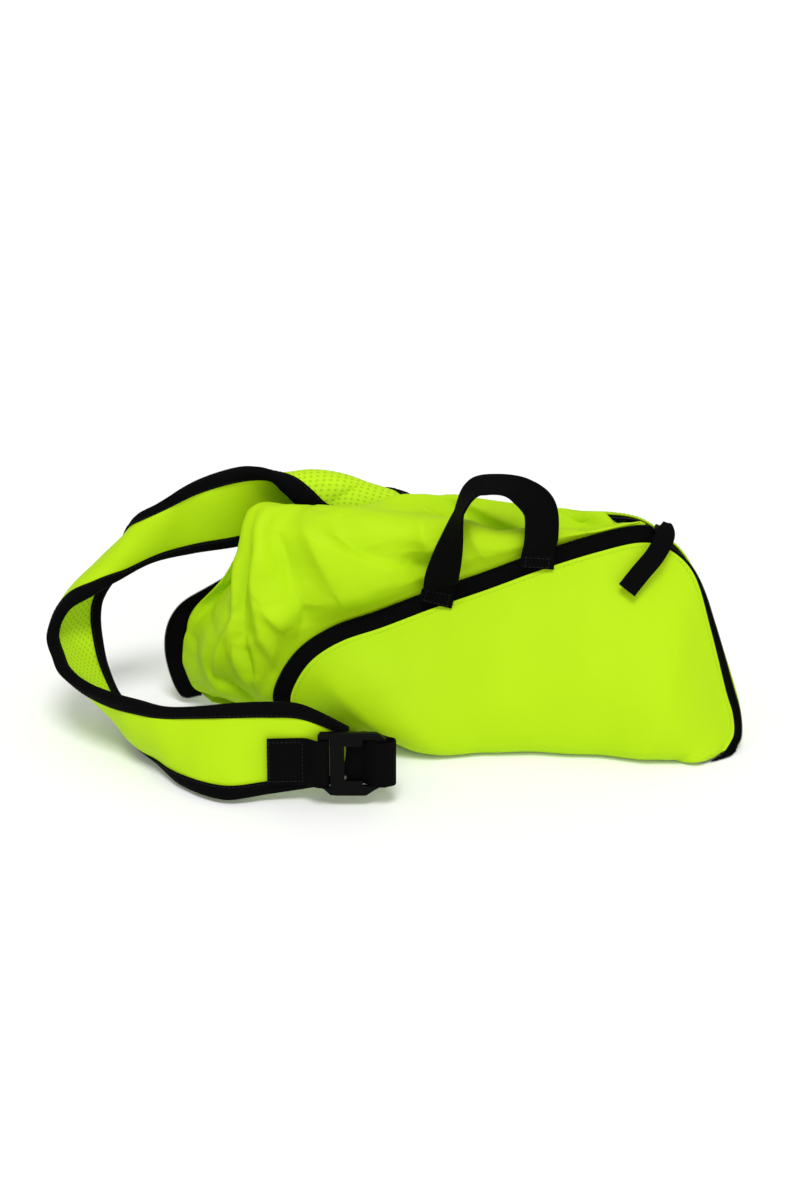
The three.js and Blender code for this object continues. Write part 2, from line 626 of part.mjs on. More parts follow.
// Zip slider between the two tapes, with a bail for the pull
const SLIDER = { width: 7.6, length: 11.5, height: 2.6, bail: 3.4, rod: 0.75, post: 2.9, lift: 2.8 };
const sliderFront = frontHem(FRONT_SLIDER_ROW);
const sliderBack = backHem(FRONT_SLIDER_ROW + rowsBehind);
const sliderAcross = sliderBack.hem.clone().sub(sliderFront.hem).normalize();
const sliderAlong = sliderFront.along.clone();
sliderAlong.addScaledVector(sliderAcross, -sliderAlong.dot(sliderAcross)).normalize();
const sliderOut = sliderAlong.clone().cross(sliderAcross).normalize();
if (sliderOut.z < 0) sliderOut.negate();
const sliderCentre = sliderFront.hem.clone().lerp(sliderBack.hem, 0.5)
  .addScaledVector(sliderOut, SLIDER.lift);
function plate(length, front, back, height) {
  const shape = new THREE.Shape();
  shape.moveTo(-length / 2 + 1, -back / 2);
  shape.lineTo(length / 2 - 1, -front / 2);
  shape.quadraticCurveTo(length / 2, -front / 2, length / 2, -front / 2 + 1);
  shape.lineTo(length / 2, front / 2 - 1);
  shape.quadraticCurveTo(length / 2, front / 2, length / 2 - 1, front / 2);
  shape.lineTo(-length / 2 + 1, back / 2);
  shape.quadraticCurveTo(-length / 2, back / 2, -length / 2, back / 2 - 1);
  shape.lineTo(-length / 2, -back / 2 + 1);
  return new THREE.ExtrudeGeometry(shape, { depth: height, bevelEnabled: false, curveSegments: 3 });
}
const bailTop = SLIDER.height + SLIDER.bail;
const post = (side) => new THREE.CylinderGeometry(SLIDER.rod, SLIDER.rod, SLIDER.bail + 0.8, 8)
  .rotateX(Math.PI / 2).translate(side * SLIDER.post, 0, bailTop - SLIDER.bail / 2);
const cross = new THREE.CylinderGeometry(SLIDER.rod, SLIDER.rod, 2 * (SLIDER.post + SLIDER.rod), 8)
  .rotateZ(Math.PI / 2).translate(0, 0, bailTop);
const slider = solidOf(plate(SLIDER.width, SLIDER.length, SLIDER.length - 1.4, SLIDER.height))
  .add(solidOf(post(-1))).add(solidOf(post(1))).add(solidOf(cross)).getMesh();
addPiece("zip_slider", placed(inThrees(slider.vertProperties), inThrees(slider.triVerts),
  sliderAlong, sliderAcross, sliderOut, sliderCentre), PLASTIC);

// Ribbon pull, hooked round the bail and hanging over the front panel
const PULL = { width: 11, neck: 4.2, wall: 1.3 };
const bailCentre = sliderCentre.clone().addScaledVector(sliderOut, bailTop);
const pullRoute = [];
const hook = SLIDER.rod + CLEARANCE + PULL.wall / 2;
for (const [back, out] of [[-3.2, -1], [0.2, -1], [1, 0], [0.2, 1], [-3, 1]]) {
  const p = bailCentre.clone().addScaledVector(sliderOut, out * hook);
  p.addScaledVector(sliderAcross, back > 0.9 ? hook : back);
  pullRoute.push([p.x, p.y, p.z]);
}
// Middle of the hanging ribbon x, y, z
const PULL_ROWS = inSizes("xyz", [
  [163, 11, 130],
  [157, 3, 122.5],
  [149, -3.5, 114],
  [141.5, -9, 105.5],
]);
pullRoute.push(...PULL_ROWS);
const pullAt = (s) => routePoint(pullRoute, s);
const pullFrames = routeFrames(pullAt, (s) => {
  const along = pullAt(Math.min(s + 0.02, 1)).sub(pullAt(Math.max(s - 0.02, 0)));
  const flat = along.cross(vec(0, -0.85, 0.5)).normalize();
  if (flat.dot(sliderAlong) < 0) flat.negate();
  return sliderAlong.clone().lerp(flat, clamp((s - 0.35) / 0.3, 0, 1));
}, 20);
pullFrames.forEach((frame, i) => {
  const spread = clamp((i / 20 - 0.4) / 0.2, 0, 1);
  frame.side.multiplyScalar((PULL.neck + (PULL.width - PULL.neck) * spread) / PULL.width);
});
addPiece("zip_pull_ribbon", sweep(pullFrames, bandOutline(PULL.width, PULL.wall)), TRIM);

// Frame of the buckle end on the strap: along it, up across it and out of its face
const STRAP_END = { share: 25 / 26, across: 0.33 };
const endOrigin = strapPoint(STRAP_END.share, STRAP_END.across);
const endAlong = vec(1, 0, 0);
const endUp = strapPoint(STRAP_END.share, 1).sub(strapPoint(STRAP_END.share, 0)).setX(0).normalize();
const endOut = endAlong.clone().cross(endUp).normalize();
function endPoint(along, out, up) {
  const p = endOrigin.clone().addScaledVector(endAlong, along).addScaledVector(endUp, up);
  return p.addScaledVector(endOut, out);
}

// The lock's own frame: along it from its edge in 41sts of its width, out of its lower face
function lockPoint([along, out, over]) {
  const lift = BUCKLE_LIFT + out + over * BUCKLE_THICK;
  return endPoint(BUCKLE_OFFSET + along * BUCKLE_WIDTH / 41, lift, 0);
}

// Webbing sewn to the strap face, looped round the first bar of the buckle:
// along | out of the lock's lower face | share of its thickness to add
const ANCHOR_LOOP = [
  [-30.6, 0.2, 0],
  [-22.6, -0.2, 0],
  [-14.6, -0.6, 0],
  [-8.1, -0.6, 0],
  [-4.1, -0.2, 0.5],
  [-0.1, 1.1, 1],
  [4.2, 1.1, 1],
  [6.2, 0.05, 0.5],
  [4.2, -1, 0],
  [-0.1, -1.1, 0],
];
const anchorAt = (s) => lockPoint(rowAt(ANCHOR_LOOP, s * (ANCHOR_LOOP.length - 1)));
addPiece("strap_anchor_webbing", sweep(routeFrames(anchorAt, () => endUp, 27),
  bandOutline(STRAP_WEBBING, LOCK_WEBBING_WALL)), TRIM);

// Ladder lock: a plate with three windows for the webbing.
// Columns: from | to along it | height of the window past the webbing
const LOCK_WINDOWS = [
  [4, 7.4, STRAP_WEBBING + 2 * CLEARANCE],
  [16, 23, ADJUSTER_WEBBING - 6],
  [27, 35, ADJUSTER_WEBBING + 2 * CLEARANCE],
];
function ladderLock() {
  const part = BUCKLE_WIDTH / 41;
  const w = BUCKLE_WIDTH;
  const h = BUCKLE_HEIGHT / 2;
  const shape = new THREE.Shape();
  shape.moveTo(0, h - 2 * part);
  shape.lineTo(0, -h + 6 * part);
  shape.quadraticCurveTo(part, -h, 9 * part, -h - part);
  shape.lineTo(w - 13 * part, -h - part);
  shape.quadraticCurveTo(w - 3 * part, -h, w, -h + 7 * part);
  shape.lineTo(w, h - 5 * part);
  shape.quadraticCurveTo(w, h, w - 5 * part, h);
  shape.lineTo(2 * part, h);
  for (const [from, to, tall] of LOCK_WINDOWS) {
    const hole = new THREE.Path();
    hole.moveTo(from * part, -tall / 2);
    hole.lineTo(from * part, tall / 2);
    hole.lineTo(to * part, tall / 2);
    hole.lineTo(to * part, -tall / 2);
    hole.closePath();
    shape.holes.push(hole);
  }
  shape.closePath();
  return new THREE.ExtrudeGeometry(shape, { depth: BUCKLE_THICK, bevelEnabled: false, curveSegments: 4 });
}
const lock = merged(ladderLock());
addPiece("ladder_lock_buckle", placed(inThrees(lock.attributes.position.array), inThrees(lock.index.array),
  endAlong, endUp, endOut, lockPoint([0, 0, 0])), PLASTIC);

// Adjuster webbing: through the buckle, in the lock's frame as above, and back to the lower
// corner of the pouch, middle x, y, z | side direction x, y, z
const ADJUSTER_LOOP = [
  [17, -1.3, 0],
  [19.9, -1.4, 0],
  [23.4, -1.5, 0],
  [26.8, -1.2, 0],
  [31, 0.1, 0.5],
  [35.4, 1.3, 1],
  [40.9, 1.8, 1],
  [45.8, 0.7, 0.5],
  [46, -2.4, 0],
];
const ADJUSTER_TAIL = inSizes("xyz---", [
  [-7, -81, 26, 0, 0.14, 1],
  [-13, -76, 25.2, 0.05, 0.16, 0.98],
  [-20, -70, 23, 0.16, 0.24, 0.95],
  [-27, -62, 19, 0.34, 0.32, 0.88],
  [-33, -52, 13.6, 0.54, 0.38, 0.74],
  [-38, -41, 9, 0.74, 0.38, 0.54],
  [-42, -29, 5, 0.92, 0.3, 0.22],
  [-44, -15, 2.2, 0.99, 0.16, 0.03],
  [-45, 1, 1.5, 1, 0.05, 0],
]);
const adjusterRows = [
  ...ADJUSTER_LOOP.map((row) => [...lockPoint(row), ...endUp]),
  ...ADJUSTER_TAIL,
];
const adjusterSide = (s) => {
  const row = rowAt(adjusterRows, s * (adjusterRows.length - 1));
  return vec(row[3], row[4], row[5]).normalize();
};
const adjusterAt = (s) => {
  const [x, y, z] = rowAt(adjusterRows, s * (adjusterRows.length - 1));
  return vec(x, y, z);
};
addPiece("adjuster_webbing", sweep(routeFrames(adjusterAt, adjusterSide, 34),
  bandOutline(ADJUSTER_WEBBING, LOCK_WEBBING_WALL)), TRIM);

// Assembled object, moved so that its lowest middle is the origin
const group = new THREE.Group();
group.name = "packable_backpack";
const box = new THREE.Box3();
for (const { geometry } of pieces) {
  geometry.computeBoundingBox();
  box.union(geometry.boundingBox);
}
const centre = box.getCenter(vec(0, 0, 0));
for (const { name, geometry, look } of pieces) {
  geometry.translate(-centre.x, -centre.y, -box.min.z);
  geometry.computeVertexNormals();
  const material = new THREE.MeshStandardMaterial(look);
  const mesh = new THREE.Mesh(geometry, material);
  mesh.name = name;
  group.add(mesh);
}

export default group;
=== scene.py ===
# %% [markdown]
# # Packable backpack, half packed into its own pouch
#
# The real thing is a very light day bag. It turns inside out into its own front pocket,
# which zips up into a flat pouch with a carry handle. Here the zip is still open along the
# top, the bag swells out of it in soft folds, and one shoulder strap lies out to the left.
#
# All the cloth is lofted in code through tables of a few sections, the way a sail maker
# draws a hull: each row is one section, and a smooth curve runs through the rows. The hard
# pieces, the ladder lock and the zip slider, are modelled with Blender's own tools.

# %% Load the frame
import math

import bpy
import numpy as np
from mathutils import Matrix, Vector


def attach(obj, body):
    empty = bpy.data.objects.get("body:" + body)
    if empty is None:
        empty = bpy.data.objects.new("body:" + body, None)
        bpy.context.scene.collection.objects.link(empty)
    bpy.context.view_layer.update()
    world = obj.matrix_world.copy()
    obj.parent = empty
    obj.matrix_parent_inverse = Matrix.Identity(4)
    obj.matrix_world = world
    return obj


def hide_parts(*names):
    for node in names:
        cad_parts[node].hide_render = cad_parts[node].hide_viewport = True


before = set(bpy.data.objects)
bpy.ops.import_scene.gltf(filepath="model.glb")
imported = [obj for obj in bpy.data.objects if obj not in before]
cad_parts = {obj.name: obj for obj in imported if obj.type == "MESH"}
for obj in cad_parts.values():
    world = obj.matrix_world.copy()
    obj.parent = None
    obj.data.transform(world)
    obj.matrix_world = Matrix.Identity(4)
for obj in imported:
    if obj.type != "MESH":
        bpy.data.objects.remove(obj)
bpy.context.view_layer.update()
MM = 0.001
# the tables below are in millimetres from a point under the bag, which lies here in the frame,
# whose origin is the middle of the part's footprint
SHIFT = np.array([2.795, 4.571, 0.0])

# %% [markdown]
# ## Camera
#
# The photograph looks down on the bag by about 25 degrees from 1.7 m away with a long lens,
# so the pouch keeps its proportions. The whole object stands in the middle of an upright frame.

# %% Camera
ELEVATION = math.radians(25)
DISTANCE = 1.7
LENS, SENSOR, FAR = 82.26, 36, 150
AIM_HEIGHT = 0.094
aim = Vector((SHIFT[0] * MM, SHIFT[1] * MM, AIM_HEIGHT))
look = Vector((0, math.cos(ELEVATION), -math.sin(ELEVATION)))
camera_data = bpy.data.cameras.new("camera")
camera_data.lens = LENS
camera_data.sensor_width = SENSOR
camera_data.clip_end = FAR
camera = bpy.data.objects.new("camera", camera_data)
camera.location = aim - look * DISTANCE
camera.rotation_euler = look.to_track_quat("-Z", "Y").to_euler()
bpy.context.collection.objects.link(camera)
bpy.context.scene.camera = camera
print("camera at", [round(v, 3) for v in camera.location])

# %% [markdown]
# ## Light and floor
#
# A plain studio: a wide light from above, a weak one from the front, and an even surround, so
# that the folds are read by soft shade and not by hard shadow. The floor is so large that its
# edge stays out of sight from low down too.

# %% Light and floor
KEY_STRENGTH, KEY_SPREAD = 1.6, 22
FILL_STRENGTH, FILL_SPREAD = 0.8, 60
SURROUND_STRENGTH = 0.58
FLOOR_SIZE = 70


def sun_light(name, towards, strength, spread):
    data = bpy.data.lights.new(name, "SUN")
    data.energy = strength
    data.angle = math.radians(spread)
    lamp = bpy.data.objects.new(name, data)
    lamp.location = aim + Vector(towards) * 2
    lamp.rotation_euler = Vector(towards).to_track_quat("Z", "Y").to_euler()
    bpy.context.collection.objects.link(lamp)


sun_light("key", (0.02, -0.42, 0.9), KEY_STRENGTH, KEY_SPREAD)
sun_light("fill", (0.35, -0.92, 0.14), FILL_STRENGTH, FILL_SPREAD)
world = bpy.data.worlds.new("surround")
world.use_nodes = True
background = world.node_tree.nodes["Background"]
background.inputs["Color"].default_value = (1, 1, 1, 1)
background.inputs["Strength"].default_value = SURROUND_STRENGTH
bpy.context.scene.world = world
bpy.context.scene.view_settings.view_transform = "Standard"
bpy.ops.object.select_all(action="DESELECT")
bpy.ops.mesh.primitive_plane_add(size=FLOOR_SIZE, location=(0, 0, 0))
floor = bpy.context.object
floor.name = "floor"

# %% [markdown]
# ## Shared shader effects
#
# An effect that several finishes use is made once, as a node group with named sockets, and
# placed in each material with its own values. The thread pattern works on a UV map laid out in
# metres along the cloth, so that the weave keeps its true size and runs with the piece. Soft
# unevenness stands for the slight dye and handling marks that keep nylon from looking like
# paint. Only the lining has knitted holes, but a group keeps its material short as well.

# %% Node helpers
def new_group(name, inputs, outputs):
    group = bpy.data.node_groups.new(name, "ShaderNodeTree")
    for label, kind, value in inputs:
        socket = group.interface.new_socket(label, in_out="INPUT", socket_type=kind)
        if value is not None:
            socket.default_value = value
    for label, kind in outputs:
        group.interface.new_socket(label, in_out="OUTPUT", socket_type=kind)
    return group, group.nodes.new("NodeGroupInput"), group.nodes.new("NodeGroupOutput")


def math_node(tree, kind, a, b=None, c=None, clamp=False):
    node = tree.nodes.new("ShaderNodeMath")
    node.operation = kind
    node.use_clamp = clamp
    for slot, value in zip(node.inputs, (a, b, c)):
        if value is None:
            continue
        if isinstance(value, (int, float)):
            slot.default_value = value
        else:
            tree.links.new(value, slot)
    return node.outputs[0]


# %% Woven threads
FLOAT, VECTOR = "NodeSocketFloat", "NodeSocketVector"
weave_group, g_in, g_out = new_group(
    "woven_threads",
    [("Vector", VECTOR, None), ("Along", FLOAT, 0.0005), ("Across", FLOAT, 0.0005)],
    [("Height", FLOAT), ("Shade", FLOAT)])
split = weave_group.nodes.new("ShaderNodeSeparateXYZ")
weave_group.links.new(g_in.outputs["Vector"], split.inputs[0])
turns = []
for axis, pitch in ((0, "Along"), (1, "Across")):
    angle = math_node(weave_group, "DIVIDE", split.outputs[axis], g_in.outputs[pitch])
    turns.append(math_node(weave_group, "SINE",
                           math_node(weave_group, "MULTIPLY", angle, 2 * math.pi)))
cross = math_node(weave_group, "MULTIPLY", turns[0], turns[1])
height = math_node(weave_group, "MULTIPLY_ADD", cross, 0.5, 0.5)
weave_group.links.new(height, g_out.inputs["Height"])
weave_group.links.new(math_node(weave_group, "MULTIPLY_ADD", cross, 0.03, 0.97),
                      g_out.inputs["Shade"])

# %% Soft unevenness
uneven_group, g_in, g_out = new_group(
    "soft_unevenness",
    [("Vector", VECTOR, None), ("Scale", FLOAT, 20.0), ("Amount", FLOAT, 0.05)],
    [("Factor", FLOAT), ("Height", FLOAT)])
noise = uneven_group.nodes.new("ShaderNodeTexNoise")
noise.inputs["Detail"].default_value = 4
uneven_group.links.new(g_in.outputs["Vector"], noise.inputs["Vector"])
uneven_group.links.new(g_in.outputs["Scale"], noise.inputs["Scale"])
centred = math_node(uneven_group, "SUBTRACT", noise.outputs["Fac"], 0.5)
uneven_group.links.new(
    math_node(uneven_group, "MULTIPLY_ADD", centred, g_in.outputs["Amount"], 1.0),
    g_out.inputs["Factor"])
uneven_group.links.new(noise.outputs["Fac"], g_out.inputs["Height"])

# %% Rows of knitted holes
hole_group, g_in, g_out = new_group(
    "knitted_holes",
    [("Vector", VECTOR, None), ("Pitch", FLOAT, 0.0048)],
    [("Hole", FLOAT)])
split = hole_group.nodes.new("ShaderNodeSeparateXYZ")
hole_group.links.new(g_in.outputs["Vector"], split.inputs[0])
waves = []
for axis in (0, 1):
    angle = math_node(hole_group, "DIVIDE", split.outputs[axis], g_in.outputs["Pitch"])
    waves.append(math_node(hole_group, "COSINE",
                           math_node(hole_group, "MULTIPLY", angle, 2 * math.pi)))
product = math_node(hole_group, "MULTIPLY", waves[0], waves[1])
hole = math_node(hole_group, "MULTIPLY_ADD", product, 3.0, -1.1, clamp=True)
hole_group.links.new(hole, g_out.inputs["Hole"])
print("groups", [g.name for g in bpy.data.node_groups])

# %% [markdown]
# ## Finishes
#
# Nylon taffeta is smooth with a soft shine. The knitted lining is duller, with rows of small
# holes. The bindings, webbing and zip tapes are black ribbed polyester, and the slider and
# the ladder lock are moulded black acetal. A finish could be a picture of real cloth, but a
# pattern of threads that is worked out in the shader keeps its scale on every piece and stays
# sharp from close up, so each finish is built from the groups above.

# %% Material helper
def new_material(name, colour, roughness, gloss):
    material = bpy.data.materials.new(name)
    material.use_nodes = True
    shader = material.node_tree.nodes["Principled BSDF"]
    shader.inputs["Base Color"].default_value = (*colour, 1)
    shader.inputs["Roughness"].default_value = roughness
    shader.inputs["Specular IOR Level"].default_value = gloss
    return material, material.node_tree, shader


def place_group(tree, group, vector, **values):
    node = tree.nodes.new("ShaderNodeGroup")
    node.node_tree = group
    tree.links.new(vector, node.inputs["Vector"])
    for label, value in values.items():
        node.inputs[label].default_value = value
    return node


def tinted(tree, colour, factor):
    node = tree.nodes.new("ShaderNodeVectorMath")
    node.operation = "SCALE"
    node.inputs[0].default_value = colour
    tree.links.new(factor, node.inputs["Scale"])
    return node.outputs[0]


def bump(tree, shader, height, distance):
    node = tree.nodes.new("ShaderNodeBump")
    node.inputs["Distance"].default_value = distance
    tree.links.new(height, node.inputs["Height"])
    tree.links.new(node.outputs["Normal"], shader.inputs["Normal"])


# %% Woven finishes
def woven_material(name, colour, roughness, gloss, along, across, depth, uneven):
    """Cloth with threads of the given pitch and depth in metres, and uneven dye."""
    material, tree, shader = new_material(name, colour, roughness, gloss)
    uv = tree.nodes.new("ShaderNodeUVMap")
    where = tree.nodes.new("ShaderNodeTexCoord")
    threads = place_group(tree, weave_group, uv.outputs["UV"], Along=along, Across=across)
    marks = place_group(tree, uneven_group, where.outputs["Object"], Scale=28.0, Amount=uneven)
    factor = math_node(tree, "MULTIPLY", threads.outputs["Shade"], marks.outputs["Factor"])
    tree.links.new(tinted(tree, colour, factor), shader.inputs["Base Color"])
    rough = math_node(tree, "MULTIPLY", marks.outputs["Factor"], roughness)
    tree.links.new(rough, shader.inputs["Roughness"])
    bump(tree, shader, threads.outputs["Height"], depth)
    return material


NEON = (0.45, 0.722, 0.005)
# the lining's green is lighter than its own colour: painted light for the light that shines through the
# thin strap
LINING_GREEN_WITH_PAINTED_LIGHT, THREAD_GREEN = (0.48, 0.77, 0.01), (0.40, 0.70, 0.01)
BLACK, THREAD_BLACK = (0.0018, 0.0018, 0.002), (0.006, 0.006, 0.0065)
PLASTIC_BLACK = (0.0015, 0.0015, 0.0017)
FLOOR_WHITE = (0.985, 0.985, 0.985)
FINE = 0.0006
nylon = woven_material("nylon", NEON, 0.55, 0.1, FINE, FINE, 0.00004, 0.05)
webbing = woven_material("black_webbing", BLACK, 0.8, 0.04, 0.0016, 0.0009, 0.00022, 0.5)
tape = woven_material("zip_tape", BLACK, 0.8, 0.04, 0.0009, 0.0013, 0.00015, 0.5)
thread_green = woven_material("panel_thread", THREAD_GREEN, 0.6, 0.3, FINE, FINE, 0.0001, 0.1)
thread_black = woven_material("binding_thread", THREAD_BLACK, 0.5, 0.2, FINE, FINE, 0.0001, 0.3)

# %% Knitted lining
HOLE_PITCH, HOLE_SHADE, HOLE_DEPTH = 0.0048, -0.24, 0.0008
mesh_cloth, tree, shader = new_material("mesh_cloth", LINING_GREEN_WITH_PAINTED_LIGHT, 0.8, 0.15)
uv = tree.nodes.new("ShaderNodeUVMap")
where = tree.nodes.new("ShaderNodeTexCoord")
holes = place_group(tree, hole_group, uv.outputs["UV"], Pitch=HOLE_PITCH)
marks = place_group(tree, uneven_group, where.outputs["Object"], Scale=60.0, Amount=0.12)
open_part = math_node(tree, "MULTIPLY_ADD", holes.outputs["Hole"], HOLE_SHADE, 1.0)
factor = math_node(tree, "MULTIPLY", open_part, marks.outputs["Factor"])
tree.links.new(tinted(tree, LINING_GREEN_WITH_PAINTED_LIGHT, factor), shader.inputs["Base Color"])
bump(tree, shader, open_part, HOLE_DEPTH)

# %% Moulded plastic
def plastic_material(name, roughness):
    material, tree, shader = new_material(name, PLASTIC_BLACK, roughness, 0.06)
    where = tree.nodes.new("ShaderNodeTexCoord")
    grain = place_group(tree, uneven_group, where.outputs["Object"], Scale=900.0, Amount=0.5)
    rough = math_node(tree, "MULTIPLY", grain.outputs["Factor"], roughness)
    tree.links.new(rough, shader.inputs["Roughness"])
    bump(tree, shader, grain.outputs["Height"], 0.00004)
    return material


lock_plastic = plastic_material("lock_plastic", 0.42)
slider_plastic = plastic_material("slider_plastic", 0.3)
floor.data.materials.append(new_material("floor_paint", FLOOR_WHITE, 0.8, 0.1)[0])
print("materials", [m.name for m in bpy.data.materials])

# %% [markdown]
# ## Curves and grids
#
# Every cloth piece is a grid of points: one direction along the piece, one across it. A
# Catmull-Rom curve goes through the rows of a table, so a place between two rows is smooth.
# Cloth could also be left to a simulation, but then nobody can say where a fold comes to lie.
# With a table, each section is drawn where the photograph shows it.

# %% Curve through rows
def rows_at(rows, place):
    rows = np.asarray(rows, float)
    last = len(rows) - 1
    place = np.clip(np.asarray(place, float), 0, last)
    i = np.minimum(place.astype(int), last - 1)
    f = (place - i)[..., None]
    a, b = rows[np.maximum(i - 1, 0)], rows[i]
    c, d = rows[i + 1], rows[np.minimum(i + 2, last)]
    bend = 2 * a - 5 * b + 4 * c - d
    return 0.5 * (2 * b + (c - a) * f + bend * f ** 2 + (3 * b - 3 * c + d - a) * f ** 3)


def unit(v):
    return v / np.maximum(np.linalg.norm(v, axis=-1, keepdims=True), 1e-9)


def grid_normals(grid):
    return unit(np.cross(np.gradient(grid, axis=0), np.gradient(grid, axis=1)))


def smooth_step(x):
    x = np.clip(x, 0, 1)
    return x * x * (3 - 2 * x)


# %% Soft random ripples
WAVES = 22


def ripples(points, length, seed):
    """A smooth field of about -1 to 1 with waves of about the given length in mm."""
    rng = np.random.default_rng(seed)
    total = 0
    for _ in range(WAVES):
        way = unit(rng.normal(size=3)) * (2 * math.pi / (length * rng.uniform(0.7, 1.6)))
        total = total + np.cos(points @ way + rng.uniform(0, 2 * math.pi))
    return total / math.sqrt(WAVES / 2) / 2


# %% Mesh from a grid
def lengths(grid, axis):
    step = np.linalg.norm(np.diff(grid, axis=axis), axis=-1)
    pad = [(0, 0), (0, 0)]
    pad[axis] = (1, 0)
    return np.cumsum(np.pad(step, pad), axis=axis)


def finish_piece(name, points, faces, uvs, material, nodes=(), smooth=True):
    mesh = bpy.data.meshes.new(name)
    mesh.from_pydata([tuple(p) for p in (np.asarray(points) + SHIFT) * MM], [], faces)
    if uvs is not None:
        layer = mesh.uv_layers.new(name="UVMap")
        order = np.empty(len(mesh.loops), dtype=np.int32)
        mesh.loops.foreach_get("vertex_index", order)
        layer.data.foreach_set("uv", (np.asarray(uvs)[order] * MM).ravel())
    mesh.materials.append(material)
    if smooth:
        mesh.polygons.foreach_set("use_smooth", [True] * len(mesh.polygons))
    mesh.update()
    piece = bpy.data.objects.new(name, mesh)
    bpy.context.collection.objects.link(piece)
    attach(piece, "root")
    if nodes:
        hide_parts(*nodes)
    return piece


def signed_volume(points, faces):
    p = np.asarray(points)[np.asarray(faces)]
    first = np.einsum("ij,ij->i", p[:, 0], np.cross(p[:, 1], p[:, 2])).sum()
    return first + np.einsum("ij,ij->i", p[:, 0], np.cross(p[:, 2], p[:, 3])).sum()


def closed_sheet(name, layers, run, over, material, nodes):
    """Two grids of points closed round their rim, with the lengths along and across as UVs."""
    rows, columns = layers[0].shape[:2]
    count = rows * columns
    index = np.arange(count).reshape(rows, columns)
    a, b = index[:-1, :-1].ravel(), index[:-1, 1:].ravel()
    c, d = index[1:, 1:].ravel(), index[1:, :-1].ravel()
    rim = np.concatenate([index[:, 0], index[-1, 1:], index[-2::-1, -1], index[0, -2:0:-1]])
    after = np.roll(rim, -1)
    faces = np.concatenate([np.stack([a, b, c, d], 1), np.stack([a, d, c, b], 1) + count,
                            np.stack([rim, after, after + count, rim + count], 1)])
    points = np.concatenate([layer.reshape(-1, 3) for layer in layers])
    if signed_volume(points, faces) < 0:
        faces = faces[:, ::-1]
    flat = np.stack([run, over], -1).reshape(-1, 2)
    return finish_piece(name, points, faces.tolist(), np.concatenate([flat, flat]),
                        material, nodes)


def cloth_piece(name, grid, wall, material, nodes=(), floor_level=None):
    """A closed sheet of the given wall around a grid of middle points."""
    normals = grid_normals(grid)
    layers = [grid + normals * reach for reach in (-wall / 2, wall / 2)]
    if floor_level is not None:
        for layer in layers:
            layer[..., 2] = np.maximum(layer[..., 2], floor_level)
    return closed_sheet(name, layers, lengths(grid, 0), lengths(grid, 1), material, nodes)


# %% [markdown]
# ## The pouch
#
# The pouch is the bag's own front pocket turned out: a front panel and a back panel that
# meet under the bag and along the zip. Each row of a table is one section from the seam under
# the bag up to the zip's hem. The panel bulges between them, flat where it lies on the floor.
# A box pulled into shape by hand would do for the panels alone. The tables were chosen because
# the zip, the bag's cloth and the handle's feet all take their places from the same two hems.

# %% Pouch tables
# hem of the zip side x, y, z | seam under the bag x, y | bulge towards x, y
FRONT_ROWS = [
    [-36, 8, 3.5, -22, 13, -2, -2],
    [-57, -4, 12, -14, 13, -6, -10],
    [-68, -13, 28, -4, 13, -6, -16],
    [-65, -13, 43, 6, 13, -4, -28],
    [-54, -10, 58, 16, 13, -2, -42],
    [-36, -6, 68.5, 26, 13, 0, -47],
    [-11, -2, 76, 38, 13, 0, -46],
    [21, 1, 88, 52, 13, 0, -44],
    [55, 3, 100, 68, 13, 0, -44],
    [88, 6, 112, 86, 13, 0, -44],
    [121, 9, 122, 104, 13, 1, -47],
    [149, 13, 127, 122, 13, 2, -49],
    [167, 16, 121, 138, 13, 1, -53],
    [183, 12.5, 105, 150, 13, -1, -55],
    [194, 2, 71, 158, 13, -2, -53],
    [203.5, -9, 36, 165, 12, -2, -49],
    [208, -14, 22, 170, 10, -2, -45],
    [208.5, -21, 11, 175, 8, -2, -43],
    [203, -30, 4.5, 178, 6, -1, -34],
]
BACK_ROWS = [
    [-121, 38, 3.4, -58, 14, -1, 1],
    [-129, 43, 8, -52, 14, 0, 1],
    [-136, 46, 17, -42, 14, 1, 1],
    [-140.5, 49, 36, -28, 14, 2, 2],
    [-138, 50, 53, -14, 14, 2, 3],
    [-127, 50, 69.5, 2, 14, 0, 8],
    [-104, 49, 91, 18, 14, 0, 22],
    [-68, 50, 113, 34, 14, 0, 36],
    [-22, 52, 124, 50, 14, 0, 40],
    [30, 55, 128, 66, 14, 0, 40],
    [80, 57, 128, 84, 14, 0, 40],
    [122, 57, 128, 102, 14, 0, 38],
    [148, 46, 130, 120, 14, -2, 38],
    [165, 33, 124, 138, 14, -3, 36],
    [182, 29, 106, 150, 14, -4, 33],
    [197, 18, 71, 162, 14, -4, 28],
    [209.5, 6, 36, 171, 14, -4, 22],
    [214.5, -2, 18, 177, 14, -2, 10],
    [214.5, -11, 6.5, 180, 12.8, 1.6, -0.5],
    [209, -22, 3.6, 180, 10.5, 0.8, -5],
]
# share of the way up | share of the bulge
FRONT_SECTION = [[0, 0], [0, 0.46], [0.006, 0.86], [0.11, 1.02], [0.36, 0.95],
                 [0.66, 0.56], [0.88, 0.18], [1, 0]]
BACK_SECTION = [[0, 0], [0, 0.45], [0.01, 0.8], [0.1, 1.02], [0.34, 1.08],
                [0.62, 0.98], [0.88, 0.68], [0.97, 0.3], [1, 0]]
CLOTH, BAG_CLOTH, CLEARANCE = 1.2, 1.1, 0.35
TAPE_WALL, TAPE_WIDTH, TAPE_TUCK = 1.0, 12.4, 1.5
TAPE_SHEET = 0.8 * TAPE_WALL
FRONT_SLIDER_ROW = 11.7
FRONT_LAST, BACK_LAST = len(FRONT_ROWS) - 1, len(BACK_ROWS) - 1
ROWS_BEHIND = BACK_LAST - FRONT_LAST


